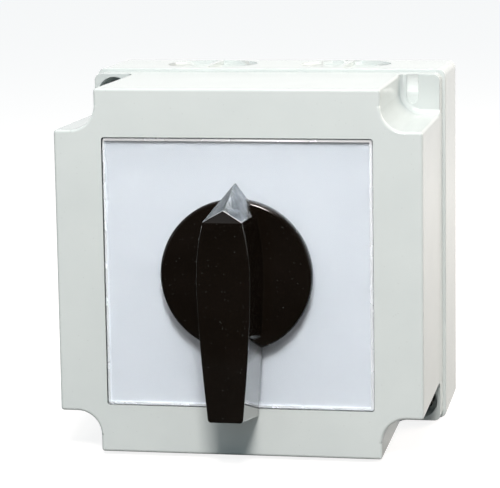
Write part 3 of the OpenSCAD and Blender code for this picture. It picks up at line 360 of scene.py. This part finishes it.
def mix_shell_grey():
    finish = Finish("shell_grey_grained")
    grain = finish.group(moulded_grain)
    rub_and_highlight = finish.group(edge_wear_and_highlight, Width=0.0006)["Rub"]
    grey = finish.tone(grain["Mottle"], (0.640, 0.695, 0.683), (0.668, 0.722, 0.708))
    grey = finish.over(grey, (0.75, 0.79, 0.78), finish.scaled(rub_and_highlight, 0.5))
    grey = finish.over(grey, (0.42, 0.44, 0.43), finish.scaled(grain["Speck"], 0.25))
    # Painted shade darkens the walls and floors of the corner notches.
    grey = finish.over(grey, (0.30, 0.34, 0.34), finish.scaled(notch_painted_shade(finish), 0.32))
    # Painted shade: the recess walls round the pane are painted near black.
    grey = finish.over(grey, (0.045, 0.050, 0.050), finish.scaled(joint_shadow(finish), 0.78))
    finish.set(Base_Color=grey, Roughness=finish.spread(grain["Height"], 0.17, 0.25))
    finish.bump(grain["Height"], 0.22, 0.00005)
    return finish.material


def merged_copy(node):
    """A closed working copy of a CAD piece, its loose triangles joined into whole faces."""
    solid = bmesh.new()
    solid.from_mesh(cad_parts[node].data)
    weld, nearly_flat = 0.000001, math.radians(0.5)
    bmesh.ops.remove_doubles(solid, verts=solid.verts, dist=weld)
    bmesh.ops.dissolve_degenerate(solid, edges=solid.edges, dist=weld)
    bmesh.ops.dissolve_limit(
        solid, angle_limit=nearly_flat, verts=solid.verts, edges=solid.edges, use_dissolve_boundaries=False)
    return solid


def ease_edges(solid, is_eased, reach, steps=2):
    """Rounds the sharp edges whose middle is_eased() picks."""
    sharp = math.radians(30)
    corners = [
        edge for edge in solid.edges
        if len(edge.link_faces) == 2 and edge.calc_face_angle() > sharp
        and is_eased((edge.verts[0].co + edge.verts[1].co) / 2)
    ]
    bmesh.ops.bevel(
        solid, geom=corners, offset=reach, offset_type="OFFSET", segments=steps, profile=0.5,
        affect="EDGES", clamp_overlap=False)


def finished_piece(name, solid, material, body, slot, *nodes):
    """Turns a working copy into the piece that stands for its CAD nodes, smooth but crisp at its corners."""
    mesh = bpy.data.meshes.new(name + "_mesh")
    solid.to_mesh(mesh)
    solid.free()
    crease = math.radians(34)
    mesh.shade_smooth()
    mesh.set_sharp_from_angle(angle=crease)
    draft = bpy.data.objects.new(name + "_draft", mesh)
    scene.collection.objects.link(draft)
    draft.modifiers.new("weigh", "WEIGHTED_NORMAL").keep_sharp = True
    evaluated = draft.evaluated_get(bpy.context.evaluated_depsgraph_get())
    piece = bpy.data.objects.new(name, bpy.data.meshes.new_from_object(evaluated))
    piece.data.name = name
    bpy.data.objects.remove(draft)
    scene.collection.objects.link(piece)
    piece.data.materials.clear()
    piece.data.materials.append(material)
    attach(piece, body)
    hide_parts(*nodes)
    return piece


def on_lid_outside(middle):
    across, up, depth = abs(middle.x), abs(middle.z), -middle.y
    on_flange = abs(depth - flange_depth) < hair and min(across, up) > notch_reach + 2 * hair
    on_seam = abs(depth - seam_depth) < hair and max(across, up) > lid_reach - lid_rim
    return on_flange or on_seam


def on_base_outside(middle):
    reach, depth = max(abs(middle.x), abs(middle.z)), -middle.y
    return reach > base_reach - base_rim and (depth < hair or depth > seam_depth - hair)


def fill_blowholes(solid):
    """Removes each closed shell that bounds an empty pocket inside the material."""
    unseen = set(solid.faces)
    while unseen:
        shell, waiting = [], [unseen.pop()]
        while waiting:
            face = waiting.pop()
            shell.append(face)
            joined = {other for edge in face.edges for other in edge.link_faces} & unseen
            unseen -= joined
            waiting.extend(joined)
        # The shell's volume comes out negative where its faces look inward.
        volume = sum(face.calc_center_median().dot(face.normal) * face.calc_area() for face in shell)
        if volume < 0:
            bmesh.ops.delete(solid, geom=shell, context="FACES")


# Reaches run from the middle to a side, and depths from the wall to the front.
hair, lid_rim, base_rim = 0.0001, 0.0025, 0.0018
base_reach, seam_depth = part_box("base_box")[1].x, -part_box("base_box")[0].y
lid_reach, lid_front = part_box("lid")[1].x, -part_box("lid")[0].y
notch_reach, flange_depth = 0.0465, 0.046
recess_reach, recess_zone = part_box("clear_cover")[1].x + 0.0003, 0.090
shell_grey = mix_shell_grey()
base_moulding, lid_moulding = merged_copy("base_box"), merged_copy("lid")
fill_blowholes(base_moulding)
ease_edges(base_moulding, on_base_outside, 0.0004)
ease_edges(lid_moulding, on_lid_outside, 0.00025)
finished_piece("base_moulding", base_moulding, shell_grey, "enclosure", "shell_plastic", "base_box")
finished_piece("lid_moulding", lid_moulding, shell_grey, "enclosure", "shell_plastic", "lid")

# ---- Mounting plate and screws ----
# A zinc-plated steel plate is screwed to the bosses of the base and carries the switch. Every screw in
# the box is a slotted machine screw, and its slot stays at whatever turn it was left when tight.


def make_metal_wear():
    """Fine brushing along one axis, cloudy plating and sparse scratches."""
    tree, given, made = start_group(
        "metal_wear", "Shader", {"Place": "Vector", "Brushing": (900.0, 900.0, 60.0)},
        {"Brush": "Float", "Cloud": "Float", "Scratch": "Float"})
    place = given["Place"]
    along = add_node(tree, "ShaderNodeMapping", Vector=place, Scale=given["Brushing"])
    brush = add_node(tree, "ShaderNodeTexNoise", Vector=along.outputs[0], Scale=1.0, Detail=3.0)
    cloud = add_node(tree, "ShaderNodeTexNoise", Vector=place, Scale=160.0, Detail=5.0)
    cell = add_node(tree, "ShaderNodeTexVoronoi", Vector=place, Scale=260.0)
    cell.feature = "DISTANCE_TO_EDGE"
    scratch = spread(tree, cell.outputs["Distance"], 0.0, 1.0, 0.02, 0.0)
    hand_over(tree, made, Brush=brush.outputs["Fac"], Cloud=cloud.outputs["Fac"], Scratch=scratch)
    return tree


metal_wear = make_metal_wear()


def mix_metal(name, dull, bright, edge, smooth, rough, brushing=(900.0, 900.0, 60.0)):
    finish = Finish(name, metallic=1.0)
    wear = finish.group(metal_wear, Brushing=brushing)
    rub_and_highlight = finish.group(edge_wear_and_highlight, Width=0.0003)["Rub"]
    metal = finish.tone(wear["Cloud"], dull, bright)
    metal = finish.over(metal, edge, finish.scaled(rub_and_highlight, 0.7))
    metal = finish.over(metal, dull, finish.scaled(wear["Scratch"], 0.5))
    finish.set(Base_Color=metal, Roughness=finish.spread(wear["Brush"], smooth, rough))
    finish.bump(wear["Brush"], 0.12, 0.00003)
    return finish.material


def dress(material, *nodes):
    """Gives CAD pieces whose shape is right their finish."""
    for node in nodes:
        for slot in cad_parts[node].material_slots:
            slot.material = material


def chain(tree, source, *steps):
    """Puts geometry nodes in a row, each fed by the one before it."""
    for kind, values in steps:
        node = add_node(tree, kind, **values)
        tree.links.new(source, node.inputs[0])
        source = node.outputs[0]
    return source


def shift(tree, height):
    """The step of a chain that moves a shape along Z."""
    upright = add_node(tree, "ShaderNodeCombineXYZ", Z=height)
    return "GeometryNodeTransform", {"Translation": upright.outputs[0]}


def plant_row(tree, given, shape, turn, made):
    """Sets a shape on each point, then makes the copies real and gives them their metal."""
    planted = add_node(
        tree, "GeometryNodeInstanceOnPoints", Points=given["Geometry"], Instance=shape, Rotation=turn)
    hand_over(tree, made, Geometry=chain(
        tree, planted.outputs[0],
        ("GeometryNodeRealizeInstances", {}), ("GeometryNodeSetMaterial", {"Material": given["Metal"]})))


def make_screw_tree():
    """A row of slotted screws, one at each point, heads towards the front."""
    sizes = {"Head radius": 0.003, "Head height": 0.002, "Shank radius": 0.002, "Shank length": 0.01,
             "Slot width": 0.001, "Thread pitch": 0.0007}
    tree, given, made = start_group(
        "slotted_screws", "Geometry", {"Geometry": "Geometry", **sizes, "Seed": 1, "Metal": "Material"},
        {"Geometry": "Geometry"})
    head_r, head_h, shank_r, shank_l, slot_w, pitch = (given[name] for name in sizes)

    def times(size, factor):
        return reckon(tree, "MULTIPLY", size, factor)

    def joined(*parts):
        both = tree.nodes.new("GeometryNodeJoinGeometry")
        for part in parts:
            tree.links.new(part, both.inputs[0])
        return both.outputs[0]

    # The blank grows from its tip. Each step draws the top face up by a rise and widens it by a growth.
    tip_share = 0.7
    disc = add_node(tree, "GeometryNodeMeshCircle", Vertices=32, Radius=times(shank_r, tip_share))
    disc.fill_type = "NGON"
    foot = chain(tree, disc.outputs[0], shift(tree, times(shank_l, -1.0)))
    sole = chain(tree, foot, ("GeometryNodeFlipFaces", {}))
    tip = times(shank_r, 1 - tip_share)
    blank, top = foot, None
    for rise, growth in (
            (tip, 1 / tip_share),  # chamfered tip
            (reckon(tree, "SUBTRACT", shank_l, tip), 1.0),  # shank
            (0.0, reckon(tree, "DIVIDE", head_r, shank_r)),  # seat under the head
            (times(head_h, 0.72), 1.0),  # side of the head
            (times(head_h, 0.18), 0.95),  # its rounded rim, in two steps
            (times(head_h, 0.10), 0.91)):
        draw = add_node(tree, "GeometryNodeExtrudeMesh", Mesh=blank, Offset_Scale=rise)
        if top:
            tree.links.new(top, draw.inputs["Selection"])
        top = draw.outputs["Top"]
        blank = add_node(
            tree, "GeometryNodeScaleElements",
            Geometry=draw.outputs["Mesh"], Selection=top, Scale=growth).outputs[0]
    whole = chain(tree, joined(blank, sole), ("GeometryNodeMergeByDistance", {"Distance": 0.000001}))
    blade = add_node(tree, "ShaderNodeCombineXYZ", X=times(head_r, 2.4), Y=slot_w, Z=head_h)
    slot = add_node(tree, "GeometryNodeMeshCube", Size=blade.outputs[0])
    cut = tree.nodes.new("GeometryNodeMeshBoolean")
    cut.operation, cut.solver = "DIFFERENCE", "EXACT"
    tree.links.new(whole, cut.inputs["Mesh 1"])
    tree.links.new(chain(tree, slot.outputs[0], shift(tree, head_h)), cut.inputs["Mesh 2"])
    # The thread is a ridge of square section, part sunk in the shank and wound round its lower part.
    threaded = times(shank_l, 0.84)
    core = reckon(tree, "SUBTRACT", shank_r, times(pitch, 0.22))
    thread = add_node(
        tree, "GeometryNodeCurveSpiral", Resolution=16, Height=threaded,
        Rotations=reckon(tree, "DIVIDE", threaded, pitch), Start_Radius=core, End_Radius=core)
    ridge = add_node(tree, "GeometryNodeCurvePrimitiveCircle", Resolution=4, Radius=times(pitch, 0.38))
    wound = chain(
        tree, thread.outputs[0],
        ("GeometryNodeCurveToMesh", {"Profile Curve": ridge.outputs[0], "Fill Caps": True}),
        shift(tree, times(shank_l, -0.96)))
    left_at = tree.nodes.new("FunctionNodeRandomValue")
    left_at.data_type = "FLOAT_VECTOR"
    # Its first two inputs are the limits of a random vector.
    least, most = 0, 1
    left_at.inputs[least].default_value = (math.pi / 2, 0, 0)
    left_at.inputs[most].default_value = (math.pi / 2, math.pi, 0)
    tree.links.new(given["Seed"], left_at.inputs["Seed"])
    plant_row(tree, given, joined(wound, cut.outputs[0]), left_at.outputs[0], made)
    return tree


def grow(name, tree, batches, metal, slot, *nodes):
    """Grows a tree on each batch of points and keeps the result as one plain mesh on the enclosure."""
    grown = bmesh.new()
    for points, settings in batches:
        seeds = bpy.data.meshes.new(name + "_seeds")
        seeds.from_pydata(points, [], [])
        carrier = bpy.data.objects.new(name + "_seeds", seeds)
        scene.collection.objects.link(carrier)
        modifier = carrier.modifiers.new(name, "NODES")
        modifier.node_group = tree
        settings = dict(settings, Metal=metal)
        for socket in tree.interface.items_tree:
            if socket.in_out == "INPUT" and socket.name in settings:
                modifier[socket.identifier] = settings[socket.name]
        evaluated = carrier.evaluated_get(bpy.context.evaluated_depsgraph_get())
        mesh = bpy.data.meshes.new_from_object(evaluated)
        bpy.data.objects.remove(carrier)
        grown.from_mesh(mesh)
        bpy.data.meshes.remove(mesh)
    finished_piece(name, grown, metal, "enclosure", slot, *nodes)


def head_seats(node, head_height):
    """The middle of the seat under each screw's head, and where its tip ends, from the CAD piece's parts."""
    solid, places = merged_copy(node), []
    left = set(solid.verts)
    while left:
        found, edge_of_search = [], [left.pop()]
        while edge_of_search:
            vert = edge_of_search.pop()
            found.append(vert.co.copy())
            for near in (edge.other_vert(vert) for edge in vert.link_edges):
                if near in left:
                    left.discard(near)
                    edge_of_search.append(near)
        low = [min(co[axis] for co in found) for axis in range(3)]
        high = [max(co[axis] for co in found) for axis in range(3)]
        seat = (low[0] + high[0]) / 2, low[1] + head_height, (low[2] + high[2]) / 2
        places.append((seat, high[1]))
    solid.free()
    return sorted(places)


slotted_screws = make_screw_tree()
zinc_plate = mix_metal("zinc_bright", (0.50, 0.52, 0.54), (0.68, 0.69, 0.71), (0.80, 0.81, 0.82), 0.28, 0.42)
screw_zinc = mix_metal("screw_zinc", (0.44, 0.45, 0.46), (0.60, 0.61, 0.62), (0.74, 0.75, 0.76), 0.26, 0.38)
# The lid screws, down in their deep wells, are coloured much darker than the other screws.
screw_dark = mix_metal(
    "lid_screw_dark", (0.10, 0.10, 0.09), (0.16, 0.16, 0.15), (0.30, 0.30, 0.29), 0.34, 0.48)
dress(zinc_plate, "mounting_plate")
dress(screw_zinc, "switch_screws")
# Head radius, head height, shank radius and finish of each kind of slotted screw.
screw_kinds = {
    "lid_screws": (0.0042, 0.0026, 0.00185, screw_dark),
    "mounting_screws": (0.0035, 0.0024, 0.0019, screw_zinc),
    "rear_terminal_screws": (0.0032, 0.0024, 0.00195, screw_zinc),
    "front_terminal_screws": (0.0032, 0.0024, 0.00195, screw_zinc),
    "earth_screws": (0.0030, 0.0020, 0.0019, screw_zinc),
    "neutral_screws": (0.0030, 0.0020, 0.0019, screw_zinc),
}
for seed, (node, (head_r, head_h, shank_r, metal)) in enumerate(screw_kinds.items(), 1):
    by_length = {}
    for seat, tip_y in head_seats(node, head_h):
        by_length.setdefault(round(tip_y - seat[1], 5), []).append(seat)
    grow(node + "_slotted", slotted_screws, [
        (seats, {"Head radius": head_r, "Head height": head_h, "Shank radius": shank_r,
                 "Shank length": length, "Slot width": 0.0012, "Thread pitch": 0.0007, "Seed": seed})
        for length, seats in sorted(by_length.items())
    ], metal, "zinc_steel", node)

# ---- Switch stack ----
# Four mouldings of dark grey thermoset make the switch: an end plate, two contact decks and the latch
# housing with its cover. Two long zinc-plated bolts with hexagon nuts clamp them together.


def mix_moulded(name, low, high, edge, smooth, rough):
    finish = Finish(name)
    grain = finish.group(moulded_grain, Pebbles_per_metre=2200.0, Clouds_per_metre=110.0)
    rub_and_highlight = finish.group(edge_wear_and_highlight, Width=0.0003)["Rub"]
    plastic = finish.tone(grain["Mottle"], low, high)
    plastic = finish.over(plastic, edge, finish.scaled(rub_and_highlight, 0.5))
    plastic = finish.over(plastic, edge, finish.scaled(grain["Speck"], 0.3))
    finish.set(Base_Color=plastic, Roughness=finish.spread(grain["Height"], smooth, rough))
    finish.bump(grain["Height"], 0.2, 0.00004)
    return finish.material


switch_black = mix_moulded(
    "switch_dark_grey", (0.030, 0.031, 0.033), (0.046, 0.047, 0.050), (0.10, 0.10, 0.11), 0.42, 0.56)
dress(switch_black, "rear_end_plate", "rear_deck", "front_deck", "latch_housing", "latch_cover")
dress(screw_zinc, "tie_bolts", "tie_nuts")

# ---- Contacts ----
# Each deck holds four copper bars with a silver tip at the gap and a tapped pad under a steel saddle.
# A copper bridge with two silver tips closes each pair of bars when its plunger comes inwards.


def mix_contact_copper():
    """Copper that is tarnished in clouds, with silver between the tips' faces and the bars."""
    finish = Finish("contact_copper_silver", metallic=1.0)
    wear = finish.group(metal_wear, Brushing=(700.0, 80.0, 700.0))
    rub_and_highlight = finish.group(edge_wear_and_highlight, Width=0.0002)["Rub"]
    copper = finish.tone(wear["Cloud"], (0.55, 0.27, 0.15), (0.80, 0.46, 0.32))
    copper = finish.over(copper, (0.90, 0.62, 0.48), finish.scaled(rub_and_highlight, 0.6))
    at_tip = reckon(finish.tree, "COMPARE", finish.off("X"), tip_middle, tip_reach)
    copper = finish.over(copper, (0.78, 0.77, 0.74), at_tip)
    finish.set(Base_Color=copper, Roughness=finish.spread(wear["Brush"], 0.24, 0.40))
    finish.bump(wear["Brush"], 0.1, 0.00003)
    return finish.material


decks, hands = ("rear", "front"), ("right", "left")
bar_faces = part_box("front_fixed_contacts")[1].x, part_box("front_right_bridge")[0].x
tip_middle, tip_reach = sum(bar_faces) / 2, abs(bar_faces[0] - bar_faces[1]) / 2 + 0.0002
bridges = [f"{deck}_{hand}_bridge" for deck in decks for hand in hands]
dress(mix_contact_copper(), "rear_fixed_contacts", "front_fixed_contacts", *bridges)
dress(zinc_plate, "rear_terminal_saddles", "front_terminal_saddles")

# ---- Shaft, cams and plungers ----
# A square zinc-plated shaft turns two cams, which push the plungers, and a toothed wheel that two bent
# leaf springs hold at off and at on. Cams, wheel and plungers are self-coloured acetal.

cam_ivory = mix_moulded("cam_ivory", (0.62, 0.57, 0.44), (0.74, 0.69, 0.56), (0.82, 0.78, 0.68), 0.30, 0.42)
plungers = [f"{deck}_{hand}_plunger" for deck in decks for hand in hands]
dress(cam_ivory, "rear_cam", "front_cam", "detent_wheel", *plungers)
spring_steel = mix_metal(
    "spring_steel", (0.36, 0.35, 0.34), (0.50, 0.49, 0.47), (0.66, 0.65, 0.63), 0.20, 0.32,
    brushing=(80.0, 900.0, 900.0))
dress(spring_steel, "detent_springs", "shaft_clip", "handle_clip")
dress(zinc_plate, "switch_shaft")

# ---- Contact springs ----
# Four coils of spring wire with closed ends push the plungers against the cams. With the switch off
# they are pressed short between the plungers' bores and the decks' walls.


def make_coil_tree():
    """A compression spring at each point, its axis along X and away from the middle."""
    sizes = {"Coil radius": 0.0017, "Wire radius": 0.0003, "Turns": 5.0, "Length": 0.0074}
    tree, given, made = start_group(
        "coil_springs", "Geometry", {"Geometry": "Geometry", **sizes, "Metal": "Material"},
        {"Geometry": "Geometry"})
    coil_r, wire_r, turns, length = (given[name] for name in sizes)
    climb = reckon(tree, "SUBTRACT", length, reckon(tree, "MULTIPLY", wire_r, 2.0))
    helix = add_node(
        tree, "GeometryNodeCurveSpiral", Resolution=24, Rotations=turns,
        Start_Radius=coil_r, End_Radius=coil_r, Height=climb)
    # The pitch falls to two fifths at both ends, where the coils close up.
    closing = 0.6
    height = apart(tree, tree.nodes.new("GeometryNodeInputPosition").outputs[0])["Z"]
    limits = {"From Max": climb, "To Max": climb}
    share = add_node(tree, "ShaderNodeMapRange", Value=height, **limits)
    share.interpolation_type = "SMOOTHSTEP"
    eased = reckon(tree, "SUBTRACT", share.outputs[0], height)
    lift = reckon(tree, "ADD", reckon(tree, "MULTIPLY", eased, closing), wire_r)
    upright = add_node(tree, "ShaderNodeCombineXYZ", Z=lift)
    wire = add_node(tree, "GeometryNodeCurvePrimitiveCircle", Resolution=10, Radius=wire_r)
    coil = chain(
        tree, helix.outputs[0],
        ("GeometryNodeSetPosition", {"Offset": upright.outputs[0]}),
        ("GeometryNodeCurveToMesh", {"Profile Curve": wire.outputs[0], "Fill Caps": True}))
    seat = apart(tree, tree.nodes.new("GeometryNodeInputPosition").outputs[0])
    side = reckon(tree, "SIGN", seat["X"])
    lean = add_node(tree, "ShaderNodeCombineXYZ", Y=reckon(tree, "MULTIPLY", side, math.pi / 2))
    plant_row(tree, given, coil, lean.outputs[0], made)
    return tree


coils = [f"{deck}_{hand}_spring" for deck in decks for hand in hands]
coil_low, coil_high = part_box("front_right_spring")
coil_sizes = {
    "Coil radius": 0.0017, "Wire radius": 0.0003, "Turns": 5.0, "Length": coil_high.x - coil_low.x}
coil_seats = []
for coil in coils:
    low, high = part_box(coil)
    near_x = min(abs(low.x), abs(high.x))
    coil_seats.append((math.copysign(near_x, low.x + high.x), (low.y + high.y) / 2, (low.z + high.z) / 2))
coil_batches = [(coil_seats, coil_sizes)]
grow("contact_springs", make_coil_tree(), coil_batches, spring_steel, "zinc_steel", *coils)

# ---- Earth and neutral terminals ----
# Two blocks of turned brass with cross holes for the wires stand on posts in the base. Their clamping
# screws and the screw that holds each block are steel.

terminal_brass = mix_metal(
    "terminal_brass", (0.58, 0.43, 0.18), (0.76, 0.60, 0.30), (0.88, 0.75, 0.46), 0.22, 0.34,
    brushing=(900.0, 900.0, 120.0))
dress(terminal_brass, "earth_terminal", "neutral_terminal")

# ---- Seals ----
# A square gasket of black rubber lies in the base's groove and seals the lid, and a rubber ring of
# round section seals the handle's hub where it passes through the lid.

seal_rubber = mix_moulded(
    "seal_rubber", (0.012, 0.012, 0.012), (0.024, 0.024, 0.023), (0.06, 0.06, 0.058), 0.62, 0.80)
dress(seal_rubber, "lid_gasket", "shaft_seal")

# ---- Face plate and clear cover ----
# A silver-lacquered aluminium plate, with a painted light band along its margin, lies in the lid's recess,
# under a pane of clear acrylic with a ground bevel. Both are held by the handle's hub and the plate's four
# pegs.


def mix_plate_silver():
    finish = Finish("plate_silver_lacquer")
    grain = finish.group(moulded_grain, Pebbles_per_metre=3800.0)
    silver = finish.tone(grain["Mottle"], (0.668, 0.693, 0.722), (0.690, 0.715, 0.745))
    # A painted light band runs along the plate's four sides.
    margin_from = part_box("face_plate")[1].x - 0.0012
    painted_light_band = finish.spread(finish.off_centre(), 0.0, 1.0, margin_from, margin_from + 0.0002)
    silver = finish.over(silver, (0.80, 0.83, 0.86), painted_light_band)
    finish.set(Base_Color=silver, Roughness=finish.spread(grain["Height"], 0.30, 0.42))
    finish.bump(grain["Height"], 0.10, 0.00003)
    return finish.material


def mix_cover_clear(name, clearness, smooth, rough):
    finish = Finish(name, ior=1.49)
    smear = finish.noise(90.0, 5.0)
    finish.set(
        Base_Color=(0.985, 0.995, 1.0, 1), Transmission_Weight=clearness,
        Roughness=finish.spread(smear, smooth, rough))
    # Lamps shine through the cover with a light tint, because a solid pane would throw a dark shadow.
    to_light = finish.tree.nodes.new("ShaderNodeLightPath").outputs["Is Shadow Ray"]
    tint = add_node(finish.tree, "ShaderNodeBsdfTransparent", Color=(0.512, 0.557, 0.588, 1)).outputs[0]
    shown = share_out(finish.tree, to_light, finish.shader.outputs[0], tint)
    finish.tree.links.new(shown, finish.tree.nodes["Material Output"].inputs["Surface"])
    return finish.material


plate_sheet, cover_pane = merged_copy("face_plate"), merged_copy("clear_cover")
ease_edges(plate_sheet, lambda middle: True, 0.00015)
ease_edges(cover_pane, lambda middle: True, 0.0003, 3)
# A breath of air lies between the pane and the plate.
pane_back, air_gap = max(vert.co.y for vert in cover_pane.verts), 0.0001
for vert in cover_pane.verts:
    if vert.co.y > pane_back - air_gap / 2:
        vert.co.y -= air_gap
finished_piece("plate_sheet", plate_sheet, mix_plate_silver(), "enclosure", "plate_silver", "face_plate")
polished = mix_cover_clear("cover_clear_acrylic", 1.0, 0.012, 0.05)
pane = finished_piece("cover_pane", cover_pane, polished, "enclosure", "cover_clear", "clear_cover")
# The bevel is cut after polishing, so it is left finely ground and catches the light.
pane.data.materials.append(mix_cover_clear("cover_bevel_ground", 0.5, 0.20, 0.32))
bevel_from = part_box("clear_cover")[1].x - 0.0010
for face in pane.data.polygons:
    on_rim = max(abs(face.center.x), abs(face.center.z)) > bevel_from
    is_slanted = 0.25 < -face.normal.y < 0.97
    if on_rim and is_slanted:
        face.material_index = 1

# ---- Handle ----
# The disc, lever and hub are one moulding of glossy black plastic, with fine rub marks where fingers
# turn it. The chromed arrowhead at the lever's nose points to the switch's position.


def mix_handle_black():
    finish = Finish("handle_black_gloss")
    rub_and_highlight = finish.group(edge_wear_and_highlight, Width=0.0005)["Rub"]
    smear = finish.noise(70.0, 4.0)
    black = finish.tone(smear, (0.0045, 0.0030, 0.0018), (0.0070, 0.0048, 0.0032))
    black = finish.over(black, (0.030, 0.026, 0.022), finish.scaled(rub_and_highlight, 0.22))
    dust = finish.spread(finish.noise(1400.0, 1.0), 0.0, 1.0, 0.73, 0.84)
    black = finish.over(black, (0.055, 0.060, 0.055), dust)
    # Fingers have polished the lever's tail.
    polish = finish.spread(finish.along("Z"), 1.0, 0.0, -0.025, -0.021)
    finish.set(Base_Color=black, Roughness=finish.spread(smear, 0.10, 0.18), Coat_Weight=polish)
    finish.bump(finish.noise(900.0, 2.0), 0.04, 0.00003)
    return finish.material


def mix_pointer_chrome():
    finish = Finish("pointer_chrome_plate", metallic=1.0)
    rub_and_highlight = finish.group(edge_wear_and_highlight, Width=0.0006)["Rub"]
    haze = finish.noise(260.0, 1.0)
    chrome = finish.tone(haze, (0.078, 0.091, 0.096), (0.140, 0.158, 0.167), 0.38, 0.66)
    # The facet on the right is painted brighter, in noisy patches, as a painted reflection.
    right_facet_sheen = finish.tone(finish.noise(300.0, 2.0), (0.185, 0.205, 0.215), (0.34, 0.365, 0.39), 0.38, 0.68)
    chrome = finish.over(chrome, right_facet_sheen, finish.spread(finish.along("X"), 0.0, 1.0, 0.0, 0.0004))
    # Painted highlight: the pointer's rounded edges are painted near white.
    chrome = finish.over(chrome, (0.95, 0.96, 0.97), rub_and_highlight)
    streak = finish.noise(600.0, 3.0, (1, 1, 0.15))
    finish.set(Base_Color=chrome, Roughness=finish.spread(streak, 0.14, 0.24))
    finish.bump(streak, 0.04, 0.00003)
    return finish.material


handle_moulding, pointer_cap = merged_copy("handle"), merged_copy("pointer")
ease_edges(pointer_cap, lambda middle: True, 0.0003)
finished_piece("handle_moulding", handle_moulding, mix_handle_black(), "rotor", "handle_black", "handle")
finished_piece("pointer_cap", pointer_cap, mix_pointer_chrome(), "rotor", "pointer_chrome", "pointer")
